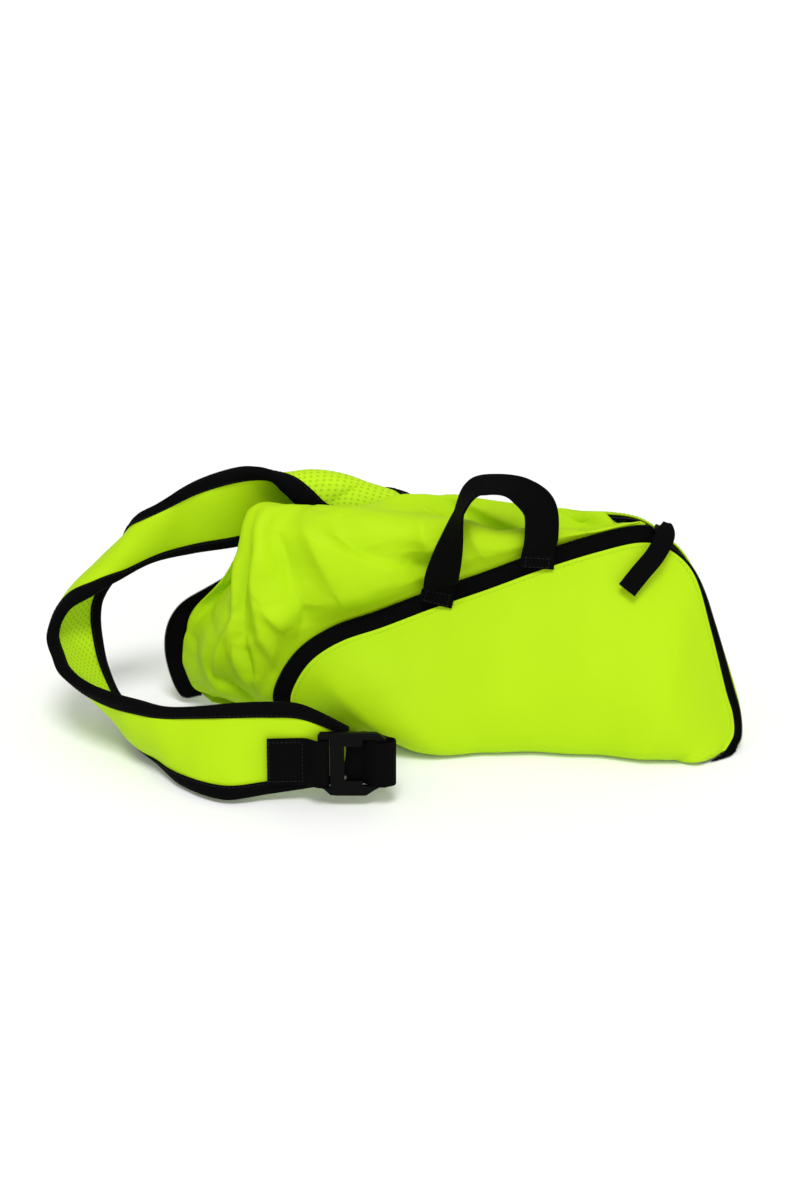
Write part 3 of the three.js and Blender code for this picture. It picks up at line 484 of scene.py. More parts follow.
# %% Pouch surface
def pouch_point(rows, section, place, rise):
    place, rise = np.broadcast_arrays(np.asarray(place, float), np.asarray(rise, float))
    r = rows_at(rows, place)
    up, out = np.moveaxis(rows_at(section, rise * (len(section) - 1)), -1, 0)
    seam = np.stack([r[..., 3], r[..., 4], np.full(place.shape, CLOTH / 2)], -1)
    p = seam + (r[..., :3] - seam) * up[..., None]
    p[..., 0] += r[..., 5] * out
    p[..., 1] += r[..., 6] * out
    p[..., 2] = np.maximum(p[..., 2], CLOTH / 2)
    return p


def hem_frame(rows, section, place, inwards):
    place = np.asarray(place, float)
    hem = pouch_point(rows, section, place, 1.0)
    along = unit(pouch_point(rows, section, np.minimum(place + 0.1, len(rows) - 1), 1.0)
                 - pouch_point(rows, section, np.maximum(place - 0.1, 0), 1.0))
    away = hem - pouch_point(rows, section, place, 0.97)
    away = unit(away - along * (away * along).sum(-1, keepdims=True))
    return hem, away, unit(np.cross(along, away)) * inwards, along


def front_hem(place):
    return hem_frame(FRONT_ROWS, FRONT_SECTION, place, -1)


def back_hem(place):
    return hem_frame(BACK_ROWS, BACK_SECTION, place, 1)


# %% Pouch panels
# centre and size as shares along the panel and up it | rise of the swell in mm
FRONT_SWELLS = [
    ((0.43, 0.8), (0.07, 0.10), -1.6), ((0.36, 0.86), (0.05, 0.05), 0.8),
    ((0.15, 0.72), (0.05, 0.2), 0.9), ((0.21, 0.66), (0.02, 0.2), -0.9),
    ((0.615, 0.83), (0.012, 0.05), 0.5),
]


def bump_at(s, t, centre, size, rise):
    """A soft dent or swell in the two shares of a panel."""
    return rise * np.exp(-((s - centre[0]) / size[0]) ** 2 - ((t - centre[1]) / size[1]) ** 2)


s, t = np.meshgrid(np.linspace(0, 1, 260), np.linspace(0, 1, 96), indexing="ij")
front_grid = pouch_point(FRONT_ROWS, FRONT_SECTION, s * FRONT_LAST, t)
swell = 0.35 * ripples(front_grid, 34, 3) * smooth_step((1 - t) * 9) * smooth_step(t * 4 - 0.5)
for centre, size, rise in FRONT_SWELLS:
    swell = swell + bump_at(s, t, centre, size, rise)
front_grid -= grid_normals(front_grid) * swell[..., None]
pouch_front = cloth_piece("pouch_front", front_grid, CLOTH, nylon,
                          ["pouch_front_panel"], floor_level=0.0)
s, t = np.meshgrid(np.linspace(0, 1, 280), np.linspace(0, 1, 96), indexing="ij")
back_grid = pouch_point(BACK_ROWS, BACK_SECTION, s * BACK_LAST, t)
swell = 0.8 * ripples(back_grid, 45, 5) * smooth_step((1 - t) * 8) * smooth_step(t * 4 - 0.8)
back_grid += grid_normals(back_grid) * swell[..., None]
pouch_back = cloth_piece("pouch_back", back_grid, CLOTH, nylon,
                         ["pouch_back_panel"], floor_level=0.0)
print("pouch faces", len(pouch_front.data.polygons), len(pouch_back.data.polygons))

# %% [markdown]
# ## The zip
#
# Each half of the zip is a woven tape with a coil of fine teeth along its free edge. Past the
# slider the two halves are locked, so there the tapes reach across until their teeth meet.
# Teeth could be a pattern in the material, but then the tape's edge would stay smooth from
# close up. So they are tiny beads, all in one mesh, on both faces of the tape.

# %% Zip tapes
RIDGE, RIDGE_FROM = 3.6, 12.2
MEET_GAP, FLOOR_GAP = 0.12, 0.6
TEETH_ABOVE = 3


def closed_share(place):
    return smooth_step((place - FRONT_SLIDER_ROW + 0.5) / 0.6)


def ridge_height(place):
    """How far the shut zip stands out past the two hems."""
    return RIDGE * smooth_step((place - RIDGE_FROM) / 1.5)


def tape_grid(own, other, places, other_places, shut, share, across, ridge):
    lift = (CLOTH + TAPE_WALL) / 2 + CLEARANCE + 0.27
    hem, away, inner, _ = own(places)
    base = hem + inner * lift
    tucked, open_edge = base - away * TAPE_TUCK, base + away * (TAPE_WIDTH - TAPE_TUCK)
    mate_hem, mate_away, mate_inner, _ = other(other_places)
    middle = base + (mate_hem + mate_inner * lift - base) * share[:, None]
    middle = middle - unit(middle - base) * MEET_GAP + unit(away + mate_away) * ridge[:, None]
    edge = open_edge + (middle - open_edge) * shut[:, None]
    grid = tucked[:, None] + (edge - tucked)[:, None] * across[None, :, None]
    grid[..., 2] = np.maximum(grid[..., 2], FLOOR_GAP)
    return grid


across = np.linspace(0, 1, 8)
places = np.linspace(0.9, FRONT_LAST, 320)
front_tape = tape_grid(front_hem, back_hem, places, places + ROWS_BEHIND, closed_share(places),
                       0.5 + 0.1 * np.clip(places - 16.2, 0, 1), across, ridge_height(places))
# the end of the front tape turns in under the corner: inner edge x, y, z | outer edge x, y, z
corner = rows_at([[*front_tape[-1, 0], *front_tape[-1, -1]], [202.5, -31, 3.4, 205.5, -31, 0.9],
                  [193, -38, 1.2, 196, -36.5, 0.7]], np.linspace(0.1, 2, 20))
inner, outer = corner[:, None, :3], corner[:, None, 3:]
front_tape = np.concatenate([front_tape, inner + (outer - inner) * across[None, :, None]])
places = np.linspace(0.9, BACK_LAST - 1.0, 330)
back_tape = tape_grid(back_hem, front_hem, places, places - ROWS_BEHIND,
                      closed_share(places - ROWS_BEHIND), np.full(330, 0.5), across,
                      ridge_height(places - ROWS_BEHIND))
narrow = 0.1 + 0.9 * smooth_step((places - 0.7) / 0.9)[:, None, None]
back_tape = back_tape[:, :1] + (back_tape - back_tape[:, :1]) * narrow
cloth_piece("zip_tape_front_woven", front_tape, TAPE_SHEET, tape,
            ["zip_tape_front"])
cloth_piece("zip_tape_back_woven", back_tape, TAPE_SHEET, tape,
            ["zip_tape_back"])


# %% Small copies along a line
def along_line(points, out, spacing):
    """Even places on a line of points, with the line's direction and the way out there."""
    step = np.linalg.norm(np.diff(points, axis=0), axis=1)
    run = np.concatenate([[0], np.cumsum(step)])
    marks = np.arange(0, run[-1], spacing)
    at, ahead, behind, up = (
        np.stack([np.interp(marks + shift, run, values[:, k]) for k in range(3)], 1)
        for values, shift in ((points, 0), (points, 0.8), (points, -0.8), (out, 0)))
    return at, unit(ahead - behind), unit(up)


def bead(length, width, height):
    """A small closed bead of 4 sides and 4 rings, along x."""
    rings = [(-0.5, 0.35), (-0.32, 0.95), (0.32, 0.95), (0.5, 0.35)]
    points = [(a * length, b * width / 2 * c, d * height / 2 * c)
              for a, c in rings for b, d in ((1, 0), (0, 1), (-1, 0), (0, -1))]
    faces = [[4 * r + k, 4 * r + (k + 1) % 4, 4 * r + 4 + (k + 1) % 4, 4 * r + 4 + k]
             for r in range(3) for k in range(4)]
    return np.array(points), faces + [[3, 2, 1, 0], [12, 13, 14, 15]]


def rows_of_beads(name, lines, material, size, spacing, turn=False):
    """One piece of beads on several lines, each along its line or, turned, across it."""
    shape, faces = bead(*size)
    points, all_faces = [], []
    for line, out in lines:
        at, way, up = along_line(line, out, spacing)
        side = unit(np.cross(up, way))
        first, second = (side, -way) if turn else (way, side)
        for k in range(len(at)):
            base = len(points) * len(shape)
            points.append(at[k] + shape[:, :1] * first[k] + shape[:, 1:2] * second[k]
                          + shape[:, 2:] * up[k])
            all_faces += [[base + v for v in face] for face in faces]
    points = np.concatenate(points)
    return finish_piece(name, points, all_faces, points[:, :2], material)


# %% Zip teeth
# a bead's length, width and height, and how far apart the beads are
TOOTH, TOOTH_SPACING = (2.2, 0.9, 0.7), 1.5
TOOTH_INSET, TOOTH_OFFSET = 0.55, 0.62
teeth = []
for grid in (front_tape, back_tape):
    normal = grid_normals(grid)[:, -1]
    edge = grid[:, -1] - unit(grid[:, -1] - grid[:, -2]) * TOOTH_INSET
    above = edge[:, 2] > TEETH_ABOVE
    for side in (1, -1):
        teeth.append(((edge + normal * side * TOOTH_OFFSET)[above], normal[above]))
zip_teeth = rows_of_beads("zip_teeth", teeth, slider_plastic, TOOTH,
                          TOOTH_SPACING, turn=True)
print("teeth faces", len(zip_teeth.data.polygons))

# %% [markdown]
# ## The stuffed bag
#
# The bag's own cloth fills the pouch and swells out of the open zip. A row of hoops runs from
# the lower left corner over the top to the slider. Each hoop starts inside the front tape,
# goes up over belly, brow, dip and crest, and ends inside the back tape. Sculpting could make
# the same form, but hoops that start and end at the hems can't tear away from the zip.

# %% Bag table
# row of the front | row of the back | belly x, y, z | brow x, y, z | dip x, y, z | crest x, y, z
BAG_ROWS = [
    [0.5, 0.2, -66, 10, 7, -80, 17, 7, -96, 24, 8, -113, 30, 11],
    [1.2, 1.2, -80, 2, 16, -96, 10, 15, -110, 20, 15, -121, 29, 17],
    [2.2, 2.6, -90, -4, 34, -106, 4, 32, -122, 16, 30, -136, 34, 27],
    [3.2, 3.6, -86, -8, 58, -105, 0, 60, -119, 14, 58, -129, 33, 54],
    [4, 4.6, -76, -8, 79, -95, 0, 85, -106, 12, 86, -113, 31, 82],
    [5, 5.5, -57, -8, 92, -83, 0, 109, -97, 12, 112, -101, 30, 108],
    [6, 6.5, -30, -6, 100, -60, -2, 125, -85, 12, 137, -93, 30, 142],
    [6.8, 7.2, 0, -1, 109, -28, 0, 131, -54, 14, 141, -63, 32, 144],
    [7.6, 7.9, 28, 6, 117.4, 8, 6, 137, -14, 20, 145, -28, 36, 141],
    [8.3, 8.6, 54, 8, 124.4, 36, 16, 140, 22, 30, 138, 2, 42, 147],
    [9, 9.4, 80, 11, 127, 63, 18, 133, 50, 34, 125, 30, 48, 143],
    [9.8, 10.2, 104, 14, 132, 90, 22, 134, 78, 36, 122, 66, 48.5, 138.5],
    [10.6, 11, 126, 18.5, 133, 114, 25, 129, 105, 36, 121, 98, 48.5, 135],
    [11.2, 11.8, 145, 22, 136, 139, 27, 134, 134, 33, 131, 129, 43, 134],
]


# %% Bag hoops
# how far the cloth goes down inside the two hems, and how far it stays off the floor
BAG_TUCK, BAG_FLOOR = 9, 1.2
# the fold table counts the way round a hoop in this many parts
WAY_ROUND = 18


def bag_hoops(hoops):
    row = rows_at(BAG_ROWS, hoops)
    f_hem, f_away, f_inner, _ = front_hem(row[:, 0])
    b_hem, b_away, b_inner, _ = back_hem(row[:, 1])
    inside = CLOTH + CLEARANCE * 2 + TAPE_WALL + BAG_CLOTH
    open_share = np.clip((row[:, 1:2] - 4) / 2, 0, 1)
    reach = (TAPE_WIDTH + 2) * open_share - 2
    behind = inside + 1.1 + 1.7 * (1 - open_share)
    points = [f_hem - f_away * BAG_TUCK + f_inner * (inside + 1),
              f_hem + f_away * (TAPE_WIDTH - 1) + f_inner * (inside + 0.4),
              row[:, 2:5], row[:, 5:8], row[:, 8:11], row[:, 11:14],
              b_hem + b_away * reach + b_inner * behind,
              b_hem - b_away * BAG_TUCK + b_inner * behind]
    points = np.stack(points, 1)
    points[..., 2] = np.maximum(points[..., 2], BAG_FLOOR)
    return points


def bag_grid(steps, cells):
    hoops = np.linspace(0, len(BAG_ROWS) - 1, steps)
    place = np.linspace(0, 1, cells)
    control = bag_hoops(hoops)
    grid = np.stack([rows_at(points, place * (len(points) - 1)) for points in control])
    grid[..., 2] = np.maximum(grid[..., 2], BAG_FLOOR)
    return grid, hoops, place


# %% [markdown]
# ### Folds
#
# Stuffed nylon makes long creases that start where the cloth is pinched. Each fold is a
# line over the bag, given in hoops and in eighteenths of the way round, with a width on
# either side and a height in millimetres. A narrow side makes the sharp edge of a crease, a
# wide side the soft slope that runs off it.

# %% Fold table
# width before | width after | rise | then hoop, place pairs along the fold
FOLDS = [
    (4, 12, 6.0, [(5.9, 11.8), (5.2, 10.8), (4.7, 10.1), (4.0, 9.0), (3.25, 7.9)]),
    (3, 6, 4.5, [(3.5, 8.7), (2.6, 9.0), (2.0, 9.2)]),
    (3, 7, 4.0, [(3.2, 8.2), (2.35, 6.2), (1.8, 5.2)]),
    (6, 4, -5.0, [(6.0, 10.9), (5.65, 9.9), (4.9, 9.2), (4.2, 8.4), (3.6, 7.2)]),
    (4, 10, 8.0, [(6.4, 11.4), (5.5, 9.4), (4.6, 7.6), (3.6, 5.7), (3.0, 3.8)]),
    (3, 6, -6.0, [(6.15, 10.2), (5.6, 8.6), (5.3, 7.4)]),
    (4, 9, -6.0, [(6.8, 11.4), (6.2, 9.6), (5.7, 8.0), (5.0, 6.0), (4.5, 4.6)]),
    (3, 11, 5.0, [(7.1, 11.4), (6.6, 9.2), (6.2, 7.4), (5.8, 5.6)]),
    (3, 9, -5.5, [(7.4, 10.2), (7.0, 8.6), (6.9, 7.4), (7.2, 6.0)]),
    (8, 8, -9.5, [(7.7, 6.4), (7.55, 5.2), (7.35, 4.0)]),
    (3, 9, 4.5, [(8.4, 8.8), (8.0, 7.0), (7.9, 5.6)]),
    (4, 8, 4.5, [(10.0, 12.8), (10.6, 11.6), (11.1, 10.8)]),
    (3, 6, -5.5, [(9.4, 10.6), (10.2, 9.0), (11.0, 8.6), (11.8, 8.4)]),
    (3, 7, 5.5, [(11.6, 11.8), (12.1, 10.2), (12.5, 8.6)]),
    (3, 5, -4.0, [(12.3, 12.4), (12.5, 10.6)]),
    (3, 7, 4.5, [(3.6, 6.6), (2.7, 5.4), (2.0, 4.4)]),
    (3, 6, -4.0, [(3.2, 6.6), (2.4, 5.0)]),
    (3, 6, 3.6, [(2.7, 10.8), (2.2, 9.8), (1.6, 8.6)]),
    (3, 6, -4.4, [(2.4, 10.0), (1.9, 7.6), (1.4, 6.0)]),
    (3, 9, 4.4, [(4.4, 6.6), (4.0, 4.6)]),
    (3, 7, -4.0, [(5.0, 5.4), (4.4, 3.6)]),
    (4, 9, 3.4, [(9.2, 7.6), (8.9, 6.2), (8.8, 5.0)]),
    (12, 9, -6.0, [(5.3, 13.2), (4.7, 13.5), (4.1, 13.9), (3.5, 14.2)]),
]
HOOP_MM, PLACE_MM = 22.0, 9.0


# %% Fold field
def fold_field(hoops, places):
    """Rise of all folds over a grid of hoops and places in eighteenths."""
    h, p = hoops * HOOP_MM, places * PLACE_MM
    total = np.zeros(np.broadcast(h, p).shape)
    for before, after, rise, line in FOLDS:
        nodes = np.array(line) * (HOOP_MM, PLACE_MM)
        run = np.concatenate([[0], np.cumsum(np.linalg.norm(np.diff(nodes, axis=0), axis=1))])
        best = np.full(total.shape, 1e9)
        share, side = np.zeros(total.shape), np.zeros(total.shape)
        for k in range(len(nodes) - 1):
            (ah, ap), (bh, bp) = nodes[k], nodes[k + 1]
            dh, dp = bh - ah, bp - ap
            f = np.clip(((h - ah) * dh + (p - ap) * dp) / (dh * dh + dp * dp), 0, 1)
            qh, qp = h - ah - f * dh, p - ap - f * dp
            off = np.hypot(qh, qp)
            closer = off < best
            best = np.where(closer, off, best)
            share = np.where(closer, (run[k] + f * (run[k + 1] - run[k])) / run[-1], share)
            side = np.where(closer, np.sign(dh * qp - dp * qh), side)
        width = np.where(side > 0, after, before)
        taper = np.sin(np.pi * (0.1 + 0.8 * share))
        total += rise * taper * np.exp(-(best / width) ** 1.6)
    return total


# %% Bag surface
def crumple(points, seed):
    """Small soft creases: the zero lines of two smooth fields."""
    a, b = ripples(points, 38, seed), ripples(points, 24, seed + 1)
    return np.minimum(np.hypot(a, 0.16), 0.7) + 0.5 * np.minimum(np.hypot(b, 0.16), 0.6) - 0.6


bag_base, hoops, place = bag_grid(330, 150)
h, p = np.meshgrid(hoops, place * WAY_ROUND, indexing="ij")
normals = grid_normals(bag_base)
outwards = np.sign((normals[..., 2] - 0.6 * normals[..., 1]).mean())
# the cloth lies still beside the tapes, and is most crumpled at the lower left
rim = smooth_step(np.minimum(p - 2.5, 15.6 - p) / 2.2)
lower_left = smooth_step((4.6 - h) / 1.6) * smooth_step((h - 0.8) / 1.0)
rise = fold_field(h, p) + crumple(bag_base, 11) * (0.8 + 1.6 * lower_left)
rise = rim * (rise + 0.5 * ripples(bag_base, 40, 21))
bag_surface = bag_base + normals * outwards * rise[..., None]
bag_surface[..., 2] = np.maximum(bag_surface[..., 2], BAG_FLOOR)
bag = cloth_piece("bag_stuffed", bag_surface, BAG_CLOTH, nylon, ["bag_body"],
                  floor_level=0.2)
print("bag faces", len(bag.data.polygons), "fold range", rise.min().round(1), rise.max().round(1))

# %% [markdown]
# ## The shoulder strap
#
# The strap is two layers, smooth nylon outside and knitted mesh inside, with bound edges. It
# leaves the bag at the back, folds over itself twice and comes back along the floor. Each row
# gives the middle of one binding, the middle of the other, and how far the strap arches.
# A flat strip bent along one curve is quicker to draw, but its twist is hard to steer. Two
# edge lines settle place and twist together, and the layers, bindings and stitches are all
# measured from them. Both layers are padded pieces with a softly swelling outside.

# %% Strap table
STRAP_ROWS = [
    [-33, 48, 127, 10, 53, 131, 0],
    [-38, 50, 128.5, 6, 61, 134, -3],
    [-44, 51, 131, -1, 70, 135, -7],
    [-51, 51, 134.5, -9, 77, 132, -11],
    [-60, 51, 142.5, -21, 81, 130, -12],
    [-69, 52, 149.5, -35, 81, 128, -11],
    [-78, 53, 154.5, -51, 76, 123, -8],
    [-90, 52, 157.5, -72, 66, 119, -5],
    [-106, 49, 156.5, -98, 54, 113, 0],
    [-128, 46, 150, -131, 50, 108.5, 1],
    [-149, 43, 139, -156, 45, 104, 2],
    [-166, 46, 126, -176, 38, 96, 3],
    [-174, 60, 106, -192, 31, 88.5, 5],
    [-184, 67, 86, -207, 25, 82.5, 6],
    [-195, 61, 69.5, -215, 18.5, 74, 6],
    [-197, 51, 57.5, -218, 9.5, 64, 5],
    [-194.5, 38, 44.5, -214, 0, 55.5, 4],
    [-190.5, 27, 33.5, -209, -8, 48.5, 3],
    [-183, 14, 21.5, -195, -22, 44, 4],
    [-173, 1, 14.5, -177, -35, 42, 6],
    [-163, -22.5, 7, -160, -46, 42.5, 7],
    [-147, -49, 7.5, -144, -56, 44, 5],
    [-131, -71, 7, -124, -63, 47.5, 2],
    [-106, -87, 7, -100, -71, 53, 0],
    [-80, -84.5, 9.5, -79, -77, 57, 0],
    [-58, -84, 12.5, -58, -78.5, 56, 0],
    [-35, -84, 15, -31, -79.5, 43.5, 0],
]
STRAP_LAST = len(STRAP_ROWS) - 1
STRAP_STEPS, STRAP_CELLS = 420, 30
HALF_GAP, STRAP_SHEET, BINDING_WALL, STRAP_WIDTH = 0.31, 1.7, 0.9, 48
# as shares of the width: how far the layers go past the middles of the bindings, how far a
# binding covers them, and the gap between a layer's edge and the binding's fold
EDGE, COVER, EDGE_GAP = 0.06, 0.08, 1.3 / STRAP_WIDTH


# %% Strap surface
def strap_middle(place, across):
    place, across = np.broadcast_arrays(place, across)
    row = rows_at(STRAP_ROWS, place)
    first, second = row[..., :3], row[..., 3:6]
    ahead = rows_at(STRAP_ROWS, np.minimum(place + 0.4, STRAP_LAST))
    behind = rows_at(STRAP_ROWS, np.maximum(place - 0.4, 0))
    along = (ahead - behind)[..., :3] + (ahead - behind)[..., 3:6]
    over = second - first
    rise = row[..., 6:] * (4 * across * (1 - across))[..., None]
    return first + over * across[..., None] + unit(np.cross(along, over)) * rise


def strap_at(place, across, offset):
    place, across = np.broadcast_arrays(place, across)
    over = strap_middle(place, across + 0.02) - strap_middle(place, across - 0.02)
    reach = 0.012 * STRAP_LAST
    along = strap_middle(np.minimum(place + reach, STRAP_LAST), across)
    along = along - strap_middle(np.maximum(place - reach, 0), across)
    offset = np.asarray(offset, float)
    return strap_middle(place, across) + unit(np.cross(along, over)) * offset[..., None]


# %% Strap layers
TIGHT_ROW, TIGHT_SPREAD = 14, 1.7
PUFF, RIPPLE_RISE, RIPPLE_LENGTH = 0.9, 0.9, 34
LINING_PUFF = -0.7


def tight(place):
    """1 where the strap folds over sharply, 0 away from there."""
    return np.exp(-((place - TIGHT_ROW) / TIGHT_SPREAD) ** 2)


def strap_layer(name, low, high, plump, material, node, seed):
    place = np.linspace(0, STRAP_LAST, STRAP_STEPS)[:, None]
    share = np.linspace(0, 1, STRAP_CELLS)[None, :]
    edge = EDGE * (1 - 0.85 * tight(place))
    across = -edge + (1 + 2 * edge) * share
    swell = plump * (1 - (2 * share - 1) ** 4) * np.ones_like(place)
    spots = strap_at(place, across, 0 * across)
    waves = RIPPLE_RISE * ripples(spots, RIPPLE_LENGTH, seed) * (1 - (2 * share - 1) ** 6)
    swell = swell + np.sign(high) * waves
    inner = strap_at(place, across, np.full(across.shape, low))
    outer = strap_at(place, across, high + swell)
    middle = (inner + outer) / 2
    run = lengths(middle, 0).mean(1, keepdims=True) + np.zeros_like(share)
    over = lengths(middle, 1).mean(0, keepdims=True) + np.zeros_like(place)
    return closed_sheet(name, (inner, outer), run, over, material, [node])


strap_outside = strap_layer("strap_outside", HALF_GAP, HALF_GAP + STRAP_SHEET, PUFF, nylon,
                            "strap_face", 31)
strap_inside = strap_layer("strap_inside", -HALF_GAP, -HALF_GAP - STRAP_SHEET, LINING_PUFF,
                           mesh_cloth, "strap_mesh_lining", 32)
print("strap faces", len(strap_outside.data.polygons), len(strap_inside.data.polygons))


# %% Strap bindings
INNER = HALF_GAP + STRAP_SHEET + CLEARANCE * 1.8
OUTER = INNER + BINDING_WALL
REACH = EDGE + EDGE_GAP + BINDING_WALL / STRAP_WIDTH
# place across the strap | offset off its middle, once round the section
BINDING_SECTION = [
    (COVER, -OUTER + 0.1), (0.045, -OUTER - 0.12), (0, -OUTER - 0.15), (-0.05, -OUTER),
    (-REACH + 0.01, -OUTER + 0.9), (-REACH - 0.004, 0), (-REACH + 0.01, OUTER - 0.9),
    (-0.05, OUTER), (0, OUTER + 0.15), (0.045, OUTER + 0.12), (COVER, OUTER - 0.1),
    (COVER, INNER), (-EDGE - EDGE_GAP, INNER), (-EDGE - EDGE_GAP, -INNER), (COVER, -INNER),
]


def ring_piece(name, rings, material, nodes=()):
    """A closed bar through rings of points of equal count, with flat ends."""
    steps, n = rings.shape[:2]
    index = np.arange(steps * n).reshape(steps, n)
    ahead = np.roll(index, -1, axis=1)
    faces = np.stack([index[:-1].ravel(), ahead[:-1].ravel(), ahead[1:].ravel(),
                      index[1:].ravel()], 1)
    points = rings.reshape(-1, 3)
    turned = signed_volume(points, faces) < 0
    faces = [list(f) for f in faces.tolist()]
    faces += [index[0][::-1].tolist(), index[-1].tolist()]
    if turned:
        faces = [f[::-1] for f in faces]
    flat = np.stack([lengths(rings, 0), lengths(rings, 1)], -1).reshape(-1, 2)
    return finish_piece(name, points, faces, flat, material, nodes)


def binding(name, mirrored, node):
    place = np.linspace(0, STRAP_LAST, STRAP_STEPS)[:, None]
    across, offset = (column * np.ones_like(place) for column in np.array(BINDING_SECTION).T)
    if mirrored:
        across = 1 - across
    return ring_piece(name, strap_at(place, across, offset), webbing, [node])


binding("strap_binding_low", False, "strap_binding_lower")
binding("strap_binding_high", True, "strap_binding_upper")

# %% Strap stitches
STRAP_STITCH, STRAP_STITCH_SPACING = (2.2, 0.55, 0.45), 3.0
STITCH_LINE = 0.055
place = np.linspace(0.05, STRAP_LAST - 0.05, 700)
lines = []
for across in (STITCH_LINE, 1 - STITCH_LINE):
    for side in (1, -1):
        inner, outer = (strap_at(place, np.full(700, across), np.full(700, side * (OUTER + lift)))
                        for lift in (0.02, 1.0))
        lines.append((inner, unit(outer - inner)))
rows_of_beads("strap_stitches", lines, thread_black, STRAP_STITCH,
              STRAP_STITCH_SPACING)

# %% [markdown]
# ## Webbing
#
# Handle, anchor, adjuster and pull are flat webbing. Each follows a short route of points with
# its own side direction, so that it can twist as real webbing does: the handle stands face on
# at its feet and turns edge on at the top of its arch. A bevelled curve makes webbing too, but
# it chooses its twist by itself, so here a flat section is swept along the route in code.

# %% Sweep webbing
def webbing_section(width, wall):
    """Round-edged flat section, once round."""
    w, h = width / 2, wall / 2
    right = [(w - h * 0.8, -h), (w - h * 0.2, -h * 0.7), (w, 0), (w - h * 0.2, h * 0.7), (w - h * 0.8, h)]
    middle = [(x, h) for x in np.linspace(w * 0.72, -w * 0.72, 7)]
    left = [(-x, -y) for x, y in right]
    below = [(x, -h) for x in np.linspace(-w * 0.72, w * 0.72, 7)]
    return np.array(right + middle + left + below)


def route_frames(point_at, side_at, count):
    s = np.linspace(0, 1, count)
    origin = np.array([point_at(v) for v in s])
    along = unit(np.array([point_at(min(v + 0.004, 1)) - point_at(max(v - 0.004, 0)) for v in s]))
    side = np.array([side_at(v) for v in s], float)
    side = unit(side - along * (side * along).sum(1, keepdims=True))
    return origin, side, unit(np.cross(along, side)), along


def sweep(name, frames, section, material, nodes, width_at=None):
    origin, side, up, _ = frames
    scale = np.ones(len(origin)) if width_at is None else width_at
    rings = (origin[:, None] + side[:, None] * (section[None, :, :1] * scale[:, None, None])
             + up[:, None] * section[None, :, 1:])
    return ring_piece(name, rings, material, nodes)


# %% Carry handle
WEBBING_WALL, HANDLE_WIDTH = 1.6, 21
# place of each foot on the front hem | how far it leans along the hem
HANDLE_FEET = [(7.02, 0.7), (8.9, 0.45)]
# middle of the webbing over the arch x, y, z
HANDLE_ROWS = [
    [25.5, -4, 110], [31, -4, 132], [36.5, 2, 153], [45.5, 9, 165],
    [60, 12, 166.5], [73.5, 11, 163], [85.5, 7, 153], [87, 3.5, 136],
]


def handle_foot(foot, rise):
    hem, away, inner, along = front_hem(foot[0])
    out = -(CLOTH + WEBBING_WALL) / 2 - CLEARANCE - 0.8 - rise * 0.3
    return hem + away * rise + along * rise * foot[1] + inner * out


handle_route = np.array([handle_foot(HANDLE_FEET[0], 1.5), handle_foot(HANDLE_FEET[0], 9),
                         *HANDLE_ROWS,
                         handle_foot(HANDLE_FEET[1], 9), handle_foot(HANDLE_FEET[1], 1.5)])


def handle_side(s):
    """Side of the webbing, which turns a quarter on either leg of the arch."""
    turn = min(max((s - 0.16) / 0.2, 0), 1) + min(max((s - 0.52) / 0.2, 0), 1)
    angle = math.pi * (1 - turn / 2)
    side = np.array([math.cos(angle), 0.97 * math.sin(angle), 0.22 * math.sin(angle)])
    foot = -front_hem(HANDLE_FEET[0][0])[3] if s < 0.5 else front_hem(HANDLE_FEET[1][0])[3]
    return side + (foot - side) * min(max((abs(s - 0.5) - 0.28) / 0.12, 0), 1)


handle_last = len(handle_route) - 1
handle_frames = route_frames(lambda s: rows_at(handle_route, s * handle_last), handle_side, 200)
sweep("carry_handle_webbing", handle_frames, webbing_section(HANDLE_WIDTH, WEBBING_WALL), webbing,
      ["carry_handle"])

# %% Slider frame
slider_front, slider_back = front_hem(FRONT_SLIDER_ROW), back_hem(FRONT_SLIDER_ROW + ROWS_BEHIND)
slider_across = unit(slider_back[0] - slider_front[0])
slider_along = unit(slider_front[3] - slider_across * (slider_front[3] @ slider_across))
slider_out = unit(np.cross(slider_along, slider_across))
if slider_out[2] < 0:
    slider_out = -slider_out
slider_centre = (slider_front[0] + slider_back[0]) / 2 + slider_out * 2.8
SLIDER_HEIGHT, SLIDER_BAIL, ROD, BAIL_RADIUS = 2.6, 3.4, 0.75, 2.9
bail_top = SLIDER_HEIGHT + SLIDER_BAIL

# %% Ribbon pull
PULL_WIDTH, PULL_NECK, PULL_WALL = 12.4, 4.2, 1.3
bail_centre = slider_centre + slider_out * bail_top
hook = ROD + CLEARANCE + PULL_WALL / 2
pull_route = [bail_centre + slider_out * out * hook + slider_across * (hook if back > 0.9 else back)
              for back, out in ((-3.2, -1), (0.2, -1), (1, 0), (0.2, 1), (-3, 1))]
pull_route = np.array([*pull_route, [163, 11, 130], [157, 3, 122.5], [148, -3.7, 114],
                       [139.5, -9.3, 105]])
pull_last = len(pull_route) - 1


def pull_at(s):
    return rows_at(pull_route, min(max(s, 0), 1) * pull_last)


def pull_side(s):
    along = pull_at(s + 0.02) - pull_at(s - 0.02)
    flat = unit(np.cross(along, (0, -0.85, 0.5)))
    if flat @ slider_along < 0:
        flat = -flat
    return slider_along + (flat - slider_along) * min(max((s - 0.35) / 0.3, 0), 1)


